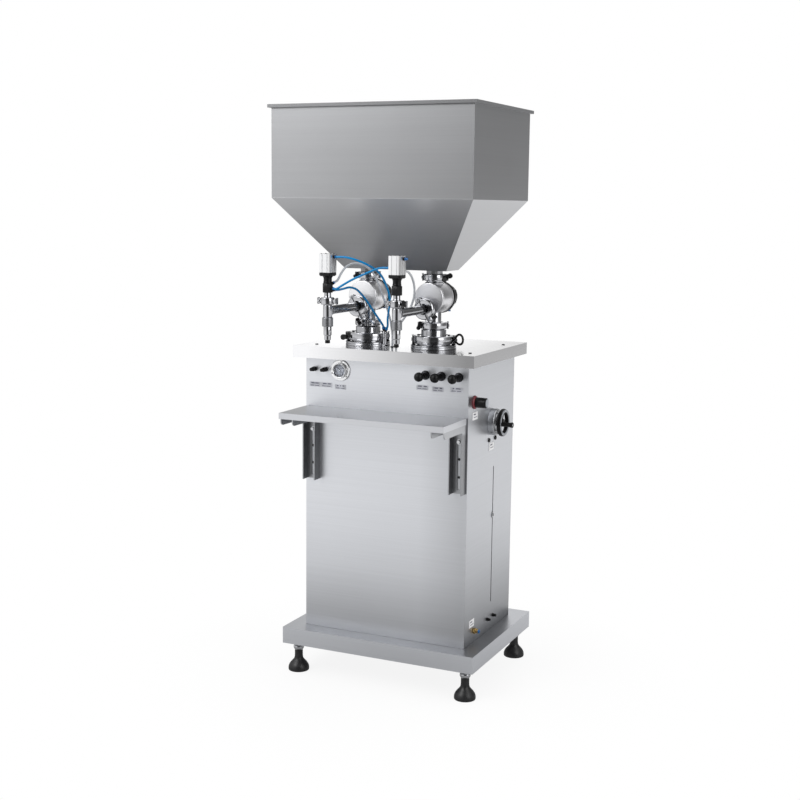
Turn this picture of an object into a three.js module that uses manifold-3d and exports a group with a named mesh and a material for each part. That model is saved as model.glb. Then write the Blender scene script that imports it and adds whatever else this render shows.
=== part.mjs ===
// Piston liquid filler with two heads: a cabinet on levelling feet, a hopper, two metering
// cylinders with turning valves, two shut-off nozzles, a container shelf and the drive inside.
// Lengths are in millimetres. +X is the machine's right, -Y its front and +Z is up.

import * as THREE from "three";
import { mergeVertices } from "three/addons/utils/BufferGeometryUtils.js";
import Module from "manifold-3d";

const wasm = await Module();
wasm.setup();

// ---------------------------------------------------------------- driving dimensions
// Heights are above the floor. Plan positions are from the cabinet's centre line.

const GAP = 0.3; // between touching pieces
const SEAL = 1.3; // between the ferrules under the hopper, where a seal ring is squeezed
const BASE = { width: 606, depth: 474, bottom: 88, top: 137, sheet: 3, boss: 57 };
const FOOT = { inset: 35, pad: 30, stud: 8, nut: 14, cup: 46 };
const CABINET = { width: 508, depth: 364, sheet: 3 };
const PLATE = { width: 562, depth: 428, bottom: 942, top: 976, sheet: 4 };
const SHELF = { width: 502, front: -348, top: 799, lip: 17, sheet: 2.5 };
const BRACKET = { x: 230, width: 40, depth: 30, bottom: 585, arm: 19, reach: 158, sheet: 3 };
const BRACKET_SLOT = { width: 9, bottom: 596, top: 739 };
const HOPPER = { width: 604, depth: 427, shoulder: 1395, top: 1650, sheet: 3 };
const FUNNEL = { width: 316, depth: 90, bottom: 1198 };
const RIM = { overhang: 8.5, height: 9 };
const HEAD = { x: 104, y: -82 };
const FACE = { flange: PLATE.top + GAP, cylinder: 1002, head: 1042, valve: 1177 }; // upper faces
const FERRULE = { cylinder: 52, head: 32, hopper: 27.5, outlet: 25.25 };
const CYLINDER = { bore: 38, wall: 7, bottom: 770, flange: 65 };
const NECK = { cylinder: 47, head: 21, hopper: 23, bore: 17 };
const VALVE = { radius: 44, length: 80, axis: 1120, chamber: 30 };
const OUTLET = { height: 1092, radius: 12, bore: 9.5, face: 69 };
const NOZZLE = { y: -334, clamp: 19, bore: 7.2, rod: 3.7, rodTop: 1205, bottom: 1011, tip: 1002 };
const ACTUATOR = { side: 36, bottom: 1194.5, top: 1246 };
const TUBE = { radius: 3, sides: 8, drop: -112, end: 964 };
const FITTING = { radius: 4.6, length: 7 };
const UNION = { at: [-37, -110, 1020], stem: 5 }; // where two air tubes join over the plate
const THROTTLES = { x: [-225, -191], z: 908 };
const GAUGE = { x: -142, z: 908 };
const PUSH_KNOBS = { x: [124, 172, 224], z: 911 };
const HANDWHEEL = { y: 5, z: 763, x: 286, radius: 40, rim: 13, grip: 30, reach: 43 };
const REGULATOR = { y: -136, z: 838 };
const INLET = { y: -108, z: 170 };
const SLOT = { y: 25, bottom: 221, top: 629, width: 5 };
const STOP = { height: 484, half: 12 };
const SCREW = { x: 200, radius: 8 };
const BEVEL = { back: 16, front: 22, depth: 10 };
const YOKE = { bottom: 640, top: 662, depth: 44 };
const DRIVE = { bore: 32, wall: 6, top: 560 };
const SIDES_OF = { large: 16, medium: 12, small: 8 }; // flats round a turned shape

// ---------------------------------------------------------------- materials

const metal = (color, roughness) =>
  new THREE.MeshStandardMaterial({ color, roughness, metalness: 1 });
const plastic = (color, roughness) =>
  new THREE.MeshStandardMaterial({ color, roughness, metalness: 0 });
const brushed = () => metal(0xc4c6c8, 0.34);
const polished = () => metal(0xd4d6d8, 0.12);
const turnedSteel = () => metal(0xcfd1d3, 0.22);
const aluminium = () => metal(0xdadcde, 0.3);
const blackPlastic = () => plastic(0x141415, 0.4);
const blueTube = () => plastic(0x1272b8, 0.3);
const clearTube = () => plastic(0xd8dadc, 0.25);

// ---------------------------------------------------------------- shape helpers

// A closed geometry as a solid that can be joined and cut.
function solidOf(geometry) {
  const bare = geometry.clone();
  bare.deleteAttribute("normal");
  bare.deleteAttribute("uv");
  const merged = mergeVertices(bare, 1e-3);
  return new wasm.Manifold(
    new wasm.Mesh({
      numProp: 3,
      vertProperties: new Float32Array(merged.attributes.position.array),
      triVerts: new Uint32Array(merged.index.array),
    }),
  );
}

function geometryOf(solid) {
  const mesh = solid.getMesh();
  const geometry = new THREE.BufferGeometry();
  geometry.setAttribute("position", new THREE.BufferAttribute(mesh.vertProperties, 3));
  geometry.setIndex(new THREE.BufferAttribute(mesh.triVerts, 1));
  return geometry;
}

const join = (...geometries) => geometryOf(geometries.map(solidOf).reduce((a, b) => a.add(b)));
const cut = (body, ...tools) =>
  geometryOf(tools.map(solidOf).reduce((a, b) => a.subtract(b), solidOf(body)));

// A box from its two limits along each axis.
function block([x0, x1], [y0, y1], [z0, z1]) {
  const box = new THREE.BoxGeometry(x1 - x0, y1 - y0, z1 - z0);
  return box.translate((x0 + x1) / 2, (y0 + y1) / 2, (z0 + z1) / 2);
}

// A box centred on the z axis.
const centred = (width, depth, [z0, z1]) =>
  block([-width / 2, width / 2], [-depth / 2, depth / 2], [z0, z1]);

// A box whose lower and upper rectangles differ.
function taper(lower, upper, [z0, z1]) {
  const box = new THREE.BoxGeometry(1, 1, 1);
  const place = box.attributes.position;
  for (let i = 0; i < place.count; i++) {
    const high = place.getZ(i) > 0;
    const [width, depth] = high ? upper : lower;
    place.setXYZ(i, place.getX(i) * width, place.getY(i) * depth, high ? z1 : z0);
  }
  return box;
}

// A turned shape from [radius, height] points that run anticlockwise round its half section.
const turned = (profile, sides = SIDES_OF.large) =>
  new THREE.LatheGeometry(profile.map(([r, z]) => new THREE.Vector2(r, z)), sides).rotateX(
    Math.PI / 2,
  );

const rod = (radius, [z0, z1], sides = SIDES_OF.medium) =>
  turned([[0, z0], [radius, z0], [radius, z1], [0, z1]], sides);

const ring = (inner, outer, [z0, z1], sides = SIDES_OF.large) =>
  turned([[inner, z0], [outer, z0], [outer, z1], [inner, z1], [inner, z0]], sides);

// Turn a shape that was built along +Z so that it points along another direction.
const UP = new THREE.Vector3(0, 0, 1);
function pointing(geometry, [x, y, z]) {
  const direction = new THREE.Vector3(x, y, z).normalize();
  return geometry.applyQuaternion(new THREE.Quaternion().setFromUnitVectors(UP, direction));
}
const FRONT = [0, -1, 0];
const BACK = [0, 1, 0];
const RIGHT = [1, 0, 0];

// A push-in fitting for an air tube, from a point in the piece that carries it.
function fitting({ from, direction, inner }) {
  const body = rod(FITTING.radius, [inner - 4, inner + FITTING.length], SIDES_OF.small);
  return pointing(body, direction).translate(...from);
}

// A point straight ahead of a fitting, a little over its end.
function ahead({ from, direction, inner }, extra) {
  const way = new THREE.Vector3(...direction).normalize();
  way.multiplyScalar(inner + FITTING.length + GAP + extra);
  return way.add(new THREE.Vector3(...from)).toArray();
}

// A flat shape in the y-z plane, extruded along x from x0 to x1.
function sideways(shape, x0, x1) {
  const basis = new THREE.Matrix4().makeBasis(
    new THREE.Vector3(0, 1, 0),
    new THREE.Vector3(0, 0, 1),
    new THREE.Vector3(1, 0, 0),
  );
  const settings = { depth: x1 - x0, bevelEnabled: false, curveSegments: 6 };
  return new THREE.ExtrudeGeometry(shape, settings).applyMatrix4(basis).translate(x0, 0, 0);
}

// ---------------------------------------------------------------- the assembly

const filler = new THREE.Group();
const machine = new THREE.Group();
filler.add(machine);

function piece(name, geometry, material, [x, y, z] = [0, 0, 0], parent = machine) {
  const mesh = new THREE.Mesh(geometry, material);
  mesh.name = name;
  mesh.position.set(x, y, z);
  parent.add(mesh);
  return mesh;
}

const SIDES = [
  { name: "left", sign: -1 },
  { name: "right", sign: 1 },
];
const CORNERS = [
  { name: "front_left", x: -1, y: -1 },
  { name: "front_right", x: 1, y: -1 },
  { name: "rear_left", x: -1, y: 1 },
  { name: "rear_right", x: 1, y: 1 },
];

// ---------------------------------------------------------------- base and feet

const footX = BASE.width / 2 - FOOT.inset;
const footY = BASE.depth / 2 - FOOT.inset;

// A tray turned upside down, with a boss in each corner for a foot's stud.
function baseTray() {
  const inside = BASE.top - BASE.sheet;
  const outer = centred(BASE.width, BASE.depth, [BASE.bottom, BASE.top]);
  const hollow = centred(BASE.width - 2 * BASE.sheet, BASE.depth - 2 * BASE.sheet, [
    BASE.bottom - 1,
    inside,
  ]);
  const span = (sign, half) => (sign > 0 ? [half - BASE.boss, half - 1] : [1 - half, BASE.boss - half]);
  const bosses = CORNERS.map(({ x, y }) =>
    block(span(x, BASE.width / 2), span(y, BASE.depth / 2), [BASE.bottom, inside + 1]),
  );
  const holes = CORNERS.map(({ x, y }) =>
    rod(FOOT.stud + GAP, [BASE.bottom - 1, inside - 1]).translate(x * footX, y * footY, 0),
  );
  return cut(join(cut(outer, hollow), ...bosses), ...holes);
}
piece("base_tray", baseTray(), brushed());

function foot() {
  const cup = turned([
    [0, 0],
    [FOOT.pad, 0],
    [FOOT.pad, 8],
    [15, 38],
    [13, FOOT.cup],
    [FOOT.stud, FOOT.cup],
    [FOOT.stud, BASE.top - 14],
    [0, BASE.top - 14],
  ], SIDES_OF.medium);
  return join(cup, rod(FOOT.nut, [70, 82], 6));
}
for (const { name, x, y } of CORNERS) {
  piece("foot_" + name, foot(), blackPlastic(), [x * footX, y * footY, 0]);
}

// ---------------------------------------------------------------- cabinet

const halfWidth = CABINET.width / 2;
const halfDepth = CABINET.depth / 2;
const CABINET_SPAN = [BASE.top + GAP, PLATE.top - PLATE.sheet - GAP];

const frontHole = (x, z, radius) =>
  pointing(rod(radius, [halfDepth - 20, halfDepth + 20]), FRONT).translate(x, 0, z);
const sideHole = (y, z, radius) =>
  pointing(rod(radius, [halfWidth - 20, halfWidth + 20]), RIGHT).translate(0, y, z);

piece(
  "front_panel",
  cut(
    block([-halfWidth, halfWidth], [-halfDepth, CABINET.sheet - halfDepth], CABINET_SPAN),
    ...THROTTLES.x.map((x) => frontHole(x, THROTTLES.z, 4.4)),
    frontHole(GAUGE.x, GAUGE.z, 15),
    ...PUSH_KNOBS.x.map((x) => frontHole(x, PUSH_KNOBS.z, 5.4)),
  ),
  brushed(),
);
piece(
  "rear_cover",
  block([-halfWidth, halfWidth], [halfDepth - CABINET.sheet, halfDepth], CABINET_SPAN),
  brushed(),
);
const SIDE_SPAN = [CABINET.sheet + GAP - halfDepth, halfDepth - CABINET.sheet - GAP];
piece(
  "left_panel",
  block([-halfWidth, CABINET.sheet - halfWidth], SIDE_SPAN, CABINET_SPAN),
  brushed(),
);
const slotCut = block(
  [halfWidth - 20, halfWidth + 20],
  [SLOT.y - SLOT.width / 2, SLOT.y + SLOT.width / 2],
  [SLOT.bottom, SLOT.top],
);
piece(
  "right_panel",
  cut(
    block([halfWidth - CABINET.sheet, halfWidth], SIDE_SPAN, CABINET_SPAN),
    slotCut,
    sideHole(HANDWHEEL.y, HANDWHEEL.z, 9.4),
    sideHole(REGULATOR.y, REGULATOR.z, 8.4),
    sideHole(INLET.y, INLET.z, 6.4),
  ),
  brushed(),
);

// The top plate is a folded tray over the cabinet's upper edge, drilled for the cylinders
// and for the two air tubes that go back into the cabinet. Two more tubes end in a union
// on a stem.
const TUBE_DROPS = [-12, 0];
const UNION_PORTS = {
  low: { from: UNION.at, direction: [-0.05, -0.55, 0.83], inner: 7 },
  top: { from: UNION.at, direction: [0.6, -0.5, 0.62], inner: 7 },
};
function unionStem() {
  const [x, y, z] = UNION.at;
  const stem = rod(UNION.stem, [PLATE.top - 1, z + UNION.stem]).translate(x, y, 0);
  return join(stem, ...Object.values(UNION_PORTS).map(fitting));
}
function topPlate() {
  const outer = centred(PLATE.width, PLATE.depth, [PLATE.bottom, PLATE.top]);
  const hollow = centred(PLATE.width - 2 * PLATE.sheet, PLATE.depth - 2 * PLATE.sheet, [
    PLATE.bottom - 1,
    PLATE.top - PLATE.sheet,
  ]);
  const through = [PLATE.bottom, PLATE.top + 1];
  const cylinderHoles = SIDES.map(({ sign }) =>
    rod(CYLINDER.bore + CYLINDER.wall + GAP, through, SIDES_OF.large).translate(sign * HEAD.x, HEAD.y, 0),
  );
  const tubeHoles = TUBE_DROPS.map((x) =>
    rod(TUBE.radius + 2 * GAP, through, SIDES_OF.small).translate(x, TUBE.drop, 0),
  );
  return join(cut(outer, hollow, ...cylinderHoles, ...tubeHoles), unionStem());
}
piece("top_plate", topPlate(), polished());

// ---------------------------------------------------------------- container shelf

function shelfTray() {
  const half = SHELF.width / 2;
  const depth = [SHELF.front, -halfDepth - 1];
  const outer = block([-half, half], depth, [SHELF.top - SHELF.lip, SHELF.top]);
  const hollow = block(
    [SHELF.sheet - half, half - SHELF.sheet],
    [depth[0] + SHELF.sheet, depth[1] - SHELF.sheet],
    [SHELF.top - SHELF.lip - 1, SHELF.top - SHELF.sheet],
  );
  return cut(outer, hollow);
}
piece("shelf_tray", shelfTray(), brushed());

// A slotted channel against the cabinet, whose two cheeks reach forward as arms.
function shelfBracket() {
  const half = BRACKET.width / 2;
  const back = -halfDepth - GAP;
  const top = SHELF.top - SHELF.lip - GAP;
  const cheek = new THREE.Shape();
  cheek.moveTo(back, BRACKET.bottom);
  cheek.lineTo(back, top);
  cheek.lineTo(back - BRACKET.reach, top);
  cheek.absarc(back - BRACKET.reach + 12, top - BRACKET.arm + 12, 12, Math.PI, 1.5 * Math.PI);
  cheek.lineTo(back - BRACKET.depth - 6, top - BRACKET.arm);
  cheek.lineTo(back - BRACKET.depth, top - BRACKET.arm - 6);
  cheek.lineTo(back - BRACKET.depth, BRACKET.bottom);
  const web = block([-half, half], [back - BRACKET.sheet, back], [BRACKET.bottom, top]);
  const slot = block(
    [-BRACKET_SLOT.width / 2, BRACKET_SLOT.width / 2],
    [back - 10, back + 10],
    [BRACKET_SLOT.bottom, BRACKET_SLOT.top],
  );
  const cheeks = [-half, half - BRACKET.sheet].map((x) => sideways(cheek, x, x + BRACKET.sheet));
  return cut(join(web, ...cheeks), slot);
}
for (const { name, sign } of SIDES) {
  piece("shelf_bracket_" + name, shelfBracket(), brushed(), [sign * BRACKET.x, 0, 0]);
}

// ---------------------------------------------------------------- front controls

// Built along +Z from the panel's outer face, which is at height 0 of the profile.
const onFront = (geometry, x, z) => pointing(geometry, FRONT).translate(x, -halfDepth, z);

const gauge = turned([
  [0, -16],
  [14, -16],
  [14, GAP],
  [31, GAP],
  [31, 3],
  [22, 4],
  [21, 12],
  [18.5, 12],
  [18.5, 10],
  [0, 10],
]);
piece("pressure_gauge", onFront(gauge, GAUGE.x, GAUGE.z), polished());

SIDES.forEach(({ name }, i) => {
  const knob = turned([[0, -12], [4, -12], [4, 8], [6.5, 8], [6.5, 26], [0, 26]], SIDES_OF.small);
  piece("throttle_knob_" + name, onFront(knob, THROTTLES.x[i], THROTTLES.z), blackPlastic());
});

["left", "middle", "right"].forEach((name, i) => {
  const knob = turned([
    [0, -14],
    [5, -14],
    [5, 33],
    [11, 38],
    [13, 46],
    [11, 54],
    [0, 60],
  ], SIDES_OF.medium);
  piece("push_knob_" + name, onFront(knob, PUSH_KNOBS.x[i], PUSH_KNOBS.z), blackPlastic());
});

// ---------------------------------------------------------------- right-hand controls

// Built along +Z from the panel's outer face.
const onRight = (geometry, y, z) => pointing(geometry, RIGHT).translate(halfWidth, y, z);

const regulatorKnob = turned([
  [0, -14],
  [8, -14],
  [8, 5],
  [14.5, 6],
  [14.5, 38],
  [0, 38],
], SIDES_OF.medium);
piece(
  "regulator_knob",
  onRight(regulatorKnob, REGULATOR.y, REGULATOR.z),
  blackPlastic(),
);

const handwheelFlange = turned([
  [9.4, GAP],
  [38.5, GAP],
  [38.5, 6],
  [26, 8],
  [24, 20],
  [9.4, 20],
  [9.4, GAP],
]);
piece(
  "handwheel_flange",
  onRight(handwheelFlange, HANDWHEEL.y, HANDWHEEL.z),
  aluminium(),
);

// A three-spoked wheel on a shaft that ends in a bevel gear inside the cabinet.
const wheelAt = HANDWHEEL.x - halfWidth;
const bevelAt = SCREW.x + 30 - halfWidth;
const gripEnd = wheelAt + HANDWHEEL.reach;
function handwheel() {
  const outer = HANDWHEEL.radius;
  const inner = outer - HANDWHEEL.rim;
  const rim = ring(inner, outer, [wheelAt - 8, wheelAt + 8]);
  const shaft = turned([
    [0, bevelAt],
    [BEVEL.back, bevelAt],
    [BEVEL.front, bevelAt + BEVEL.depth],
    [9, bevelAt + BEVEL.depth],
    [9, 20 + GAP],
    [14, 20 + GAP],
    [14, wheelAt + 4],
    [0, wheelAt + 4],
  ], SIDES_OF.medium);
  const spoke = block([-5, 5], [-inner - 2, -8], [wheelAt - 4, wheelAt + 4]);
  const spokes = [0, 1, 2].map((i) => spoke.clone().rotateZ((i * 2 * Math.PI) / 3));
  const gripStud = rod(3, [wheelAt, gripEnd - 1], SIDES_OF.small);
  return join(rim, shaft, ...spokes, gripStud.translate(0, -HANDWHEEL.grip, 0));
}
piece(
  "handwheel",
  onRight(handwheel(), HANDWHEEL.y, HANDWHEEL.z),
  blackPlastic(),
);

const grip = turned([
  [3 + GAP, wheelAt + 8 + GAP],
  [6, wheelAt + 8 + GAP],
  [8, gripEnd - 8],
  [6, gripEnd],
  [3 + GAP, gripEnd],
  [3 + GAP, wheelAt + 8 + GAP],
], SIDES_OF.small);
piece(
  "handwheel_grip",
  onRight(grip.translate(0, -HANDWHEEL.grip, 0), HANDWHEEL.y, HANDWHEEL.z),
  blackPlastic(),
);

const airInlet = turned([
  [0, -14],
  [6, -14],
  [6, GAP],
  [9, GAP],
  [9, 8],
  [6, 9],
  [6, 18],
  [0, 18],
], SIDES_OF.small);
piece("air_inlet", onRight(airInlet, INLET.y, INLET.z), metal(0xc9a24a, 0.3));

// ---------------------------------------------------------------- drive inside the cabinet

// The vertical screw carries the stop block. Its bevel gear meets the handwheel's.
const screwTop = HANDWHEEL.z - 24;
const screwProfile = turned([
  [0, BASE.top + GAP],
  [14, BASE.top + GAP],
  [14, BASE.top + 12],
  [SCREW.radius, BASE.top + 12],
  [SCREW.radius, screwTop - BEVEL.depth],
  [BEVEL.front, screwTop - BEVEL.depth],
  [BEVEL.back, screwTop],
  [0, screwTop],
], SIDES_OF.medium);
piece("adjusting_screw", screwProfile, turnedSteel(), [SCREW.x, HANDWHEEL.y, 0]);

// The stop block rides on the screw. Its arm ends in the pointer in the cabinet's slot.
function stopBlock() {
  const z = [STOP.height - STOP.half, STOP.height + STOP.half];
  const body = block(
    [SCREW.x - 110, SCREW.x + 20],
    [HEAD.y - YOKE.depth / 2, HANDWHEEL.y + 20],
    z,
  );
  const arm = block([SCREW.x - 12, SCREW.x + 12], [HANDWHEEL.y, SLOT.y + 8], z);
  const pointer = block(
    [SCREW.x, halfWidth + 4],
    [SLOT.y - 1.6, SLOT.y + 1.6],
    [STOP.height - 4, STOP.height + 4],
  );
  const bore = rod(SCREW.radius + GAP, [0, screwTop]).translate(SCREW.x, HANDWHEEL.y, 0);
  return cut(join(body, arm, pointer), bore);
}
piece("stop_block", stopBlock(), turnedSteel());

// An air cylinder on the base lifts the yoke, and the yoke carries both pistons.
const driveCylinder = join(
  ring(DRIVE.bore, DRIVE.bore + DRIVE.wall, [BASE.top + 12, DRIVE.top - 10]),
  centred(90, 90, [BASE.top + GAP, BASE.top + 14]),
  cut(centred(90, 90, [DRIVE.top - 14, DRIVE.top]), rod(10 + GAP, [0, DRIVE.top + 1])),
);
piece("drive_cylinder", driveCylinder, aluminium(), [0, HEAD.y, 0]);

function driveYoke() {
  const bar = centred(2 * HEAD.x + 60, YOKE.depth, [YOKE.bottom, YOKE.top]);
  const driveRod = rod(10, [DRIVE.top - 200, YOKE.bottom + 1]);
  const head = rod(DRIVE.bore - GAP, [DRIVE.top - 220, DRIVE.top - 196], SIDES_OF.large);
  return join(bar, driveRod, head);
}
piece("drive_yoke", driveYoke(), turnedSteel(), [0, HEAD.y, 0]);

function piston() {
  const top = CYLINDER.bottom + 92;
  return turned([
    [0, YOKE.top + GAP],
    [16, YOKE.top + GAP],
    [16, YOKE.top + 12],
    [9, YOKE.top + 12],
    [9, top - 40],
    [CYLINDER.bore - GAP, top - 40],
    [CYLINDER.bore - GAP, top],
    [0, top],
  ]);
}

// ---------------------------------------------------------------- hopper

function hopper() {
  const t = HOPPER.sheet;
  const body = [HOPPER.width, HOPPER.depth];
  const foot = [FUNNEL.width, FUNNEL.depth];
  const inset = ([width, depth], by) => [width - 2 * by, depth - 2 * by];
  const stubs = SIDES.map(({ sign }) =>
    turned([
      [0, FACE.valve + SEAL],
      [FERRULE.hopper, FACE.valve + SEAL],
      [FERRULE.hopper, FACE.valve + 8.5],
      [NECK.hopper, FACE.valve + 8.5],
      [NECK.hopper, FUNNEL.bottom + 1],
      [0, FUNNEL.bottom + 1],
    ]).translate(sign * HEAD.x, 0, 0),
  );
  const outer = join(
    taper(foot, body, [FUNNEL.bottom, HOPPER.shoulder]),
    centred(...body, [HOPPER.shoulder, HOPPER.top]),
    centred(...inset(body, -RIM.overhang), [HOPPER.top - RIM.height, HOPPER.top]),
    ...stubs,
  );
  const bores = SIDES.map(({ sign }) =>
    rod(NECK.hopper - 2.5, [FACE.valve, FUNNEL.bottom + 10]).translate(sign * HEAD.x, 0, 0),
  );
  return cut(
    outer,
    taper(inset(foot, 1.3 * t), inset(body, t), [FUNNEL.bottom + t, HOPPER.shoulder]),
    centred(...inset(body, t), [HOPPER.shoulder - 0.01, HOPPER.top + 1]),
    ...bores,
  );
}
piece("hopper", hopper(), brushed(), [0, HEAD.y, 0]);

// ---------------------------------------------------------------- filling heads
// Each head is built round its cylinder's axis, with the nozzle towards the front.

// A two-part clamp round two ferrules, as one ring with its hinge and its bolt lug.
function clampRing({ neck, lip, outer, height: [z0, z1], lug, turn }) {
  const band = turned([
    [neck, z0],
    [outer, z0],
    [outer, z1],
    [neck, z1],
    [neck, z1 - 1.5],
    [lip, z1 - 1.5],
    [lip, z0 + 1.5],
    [neck, z0 + 1.5],
    [neck, z0],
  ]);
  const middle = [z0 + 3, z1 - 3];
  const lugs = [
    block([outer - 2, outer + lug], [-7, 7], middle),
    block([-outer - lug, 2 - outer], [-6, 6], middle),
  ];
  return join(band, ...lugs).rotateZ(turn);
}

const metering = turned([
  [CYLINDER.bore, CYLINDER.bottom],
  [CYLINDER.bore + CYLINDER.wall, CYLINDER.bottom],
  [CYLINDER.bore + CYLINDER.wall, FACE.flange],
  [CYLINDER.flange, FACE.flange],
  [CYLINDER.flange, FACE.flange + 10.7],
  [NECK.cylinder, FACE.flange + 10.7],
  [NECK.cylinder, FACE.cylinder - 10],
  [FERRULE.cylinder, FACE.cylinder - 10],
  [FERRULE.cylinder, FACE.cylinder],
  [CYLINDER.bore, FACE.cylinder],
  [CYLINDER.bore, CYLINDER.bottom],
]);

const cylinderHead = turned([
  [NECK.bore, FACE.cylinder + GAP],
  [FERRULE.cylinder, FACE.cylinder + GAP],
  [FERRULE.cylinder, FACE.cylinder + 10],
  [36, FACE.cylinder + 10],
  [36, FACE.head - 12],
  [NECK.head, FACE.head - 11],
  [NECK.head, FACE.head - 8],
  [FERRULE.head, FACE.head - 8],
  [FERRULE.head, FACE.head],
  [NECK.bore, FACE.head],
  [NECK.bore, FACE.cylinder + GAP],
]);

// The valve's axis runs from front to back. The product comes in at the top, goes to and
// from the cylinder below, and leaves through the low port in the front face.
function valveBody() {
  const half = VALVE.length / 2;
  const alongY = (geometry, direction, z) => pointing(geometry, direction).translate(0, 0, z);
  const drum = alongY(
    turned([
      [0, -half],
      [VALVE.radius, -half],
      [VALVE.radius, half],
      [0, half],
    ], 24),
    FRONT,
    VALVE.axis,
  );
  const stem = turned([
    [0, FACE.head + GAP],
    [FERRULE.head, FACE.head + GAP],
    [FERRULE.head, FACE.head + 8],
    [NECK.head, FACE.head + 8],
    [NECK.head, VALVE.axis - 20],
    [0, VALVE.axis - 20],
  ]);
  const collar = turned([
    [0, VALVE.axis + 20],
    [NECK.hopper, VALVE.axis + 20],
    [NECK.hopper, FACE.valve - 7.5],
    [FERRULE.hopper, FACE.valve - 6.5],
    [FERRULE.hopper, FACE.valve],
    [0, FACE.valve],
  ]);
  const outlet = alongY(
    turned([
      [0, half - 5],
      [14, half - 5],
      [14, OUTLET.face - 4],
      [FERRULE.outlet, OUTLET.face - 4],
      [FERRULE.outlet, OUTLET.face],
      [0, OUTLET.face],
    ], SIDES_OF.medium),
    FRONT,
    OUTLET.height,
  );
  const chamber = alongY(rod(VALVE.chamber, [8 - half, half + 1], 24), BACK, VALVE.axis);
  const port = alongY(rod(OUTLET.bore, [0, OUTLET.face + 1]), FRONT, OUTLET.height);
  return cut(
    join(drum, stem, collar, outlet),
    chamber,
    port,
    rod(NECK.bore, [FACE.head, FACE.valve + 1]),
  );
}

// The plug is cut away on one side. A quarter turn moves the open side from the hopper's
// port to the outlet's port.
function valvePlug() {
  const half = VALVE.length / 2;
  const plug = turned([
    [0, 8 + GAP - half],
    [VALVE.chamber - 1, 8 + GAP - half],
    [VALVE.chamber - 1, half],
    [8, half],
    [8, half + 10],
    [0, half + 10],
  ]);
  const opening = block([9.5, 40], [-40, 40], [16 - half, half - 16]);
  return pointing(cut(plug, opening), BACK).translate(0, 0, VALVE.axis);
}

function valveActuator() {
  const start = VALVE.length / 2 + GAP;
  const shell = turned([
    [0, start],
    [46, start],
    [46, start + 9],
    [34, start + 10],
    [34, start + 56],
    [0, start + 56],
  ]);
  const socket = rod(8 + GAP, [start - 1, start + 12]);
  const ports = [-16, 16].map((x) =>
    pointing(rod(5, [24, 42], SIDES_OF.small), BACK).translate(x, 0, start + 32),
  );
  return pointing(join(cut(shell, socket), ...ports), BACK).translate(0, 0, VALVE.axis);
}

const nozzleY = NOZZLE.y - HEAD.y;
const stubEnd = 17; // the end of the nozzle's side stub, from its axis
const sleeveTop = 1183;

function outletPipe() {
  const length = -nozzleY - stubEnd - GAP;
  const start = OUTLET.face + GAP;
  const pipe = turned([
    [OUTLET.bore, start],
    [FERRULE.outlet, start],
    [FERRULE.outlet, start + 4],
    [OUTLET.radius, start + 5],
    [OUTLET.radius, length],
    [OUTLET.bore, length],
    [OUTLET.bore, start],
  ], SIDES_OF.medium);
  return pointing(pipe, FRONT).translate(0, 0, OUTLET.height);
}

// Where each head's air tubes leave: directions are in the head's own frame.
const LEFT_FITTINGS = {
  lowRear: { from: [0, nozzleY, 1148], direction: [0.8, 0.6, 0], inner: 14.5 },
  lowSide: { from: [0, nozzleY, 1152], direction: [1, -0.2, 0], inner: 14.5 },
  neck: { from: [0, nozzleY, 1158], direction: [0.77, 0.3, 0.5], inner: 15 },
  top: { from: [0, nozzleY, 1238], direction: [1, 0, 0], inner: ACTUATOR.side / 2 },
};
const RIGHT_FITTINGS = {
  side: { from: [0, nozzleY, 1213], direction: [-1, 0, 0], inner: ACTUATOR.side / 2 },
  top: { from: [0, nozzleY, 1238], direction: [1, 0, 0], inner: ACTUATOR.side / 2 },
  rear: { from: [7, nozzleY, 1204], direction: [0, 1, 0], inner: ACTUATOR.side / 2 },
};

function nozzleBody(fittings) {
  const outer = turned([
    [0, NOZZLE.bottom],
    [9, NOZZLE.bottom],
    [9, 1023],
    [11, 1023],
    [11, 1048],
    [15, 1048],
    [15, 1073],
    [12.5, 1073],
    [12.5, 1108],
    [NOZZLE.clamp, 1108],
    [NOZZLE.clamp, 1128],
    [10, 1128],
    [10, 1141],
    [15.5, 1141],
    [15.5, 1166],
    [12, 1166],
    [12, sleeveTop],
    [0, sleeveTop],
  ], SIDES_OF.medium).translate(0, nozzleY, 0);
  const lugs = block([-30, 30], [nozzleY - 6, nozzleY + 6], [1111, 1126]);
  const stub = pointing(rod(OUTLET.radius, [2, stubEnd]), BACK);
  const feed = pointing(rod(OUTLET.bore, [0, stubEnd + 1]), BACK);
  const carried = fittings.map(fitting);
  return cut(
    join(outer, lugs, stub.translate(0, nozzleY, OUTLET.height), ...carried),
    feed.translate(0, nozzleY, OUTLET.height),
    rod(NOZZLE.bore, [NOZZLE.bottom - 1, 1118]).translate(0, nozzleY, 0),
    rod(NOZZLE.rod + GAP, [OUTLET.height, sleeveTop + 1], SIDES_OF.small).translate(0, nozzleY, 0),
  );
}

function nozzlePlunger() {
  const profile = [
    [0, NOZZLE.tip],
    [NOZZLE.bore - GAP, NOZZLE.tip],
    [NOZZLE.bore - GAP, NOZZLE.bottom + 12],
    [NOZZLE.rod, NOZZLE.bottom + 14],
    [NOZZLE.rod, NOZZLE.rodTop],
    [0, NOZZLE.rodTop],
  ];
  return turned(profile, SIDES_OF.small).translate(0, nozzleY, 0);
}

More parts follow.
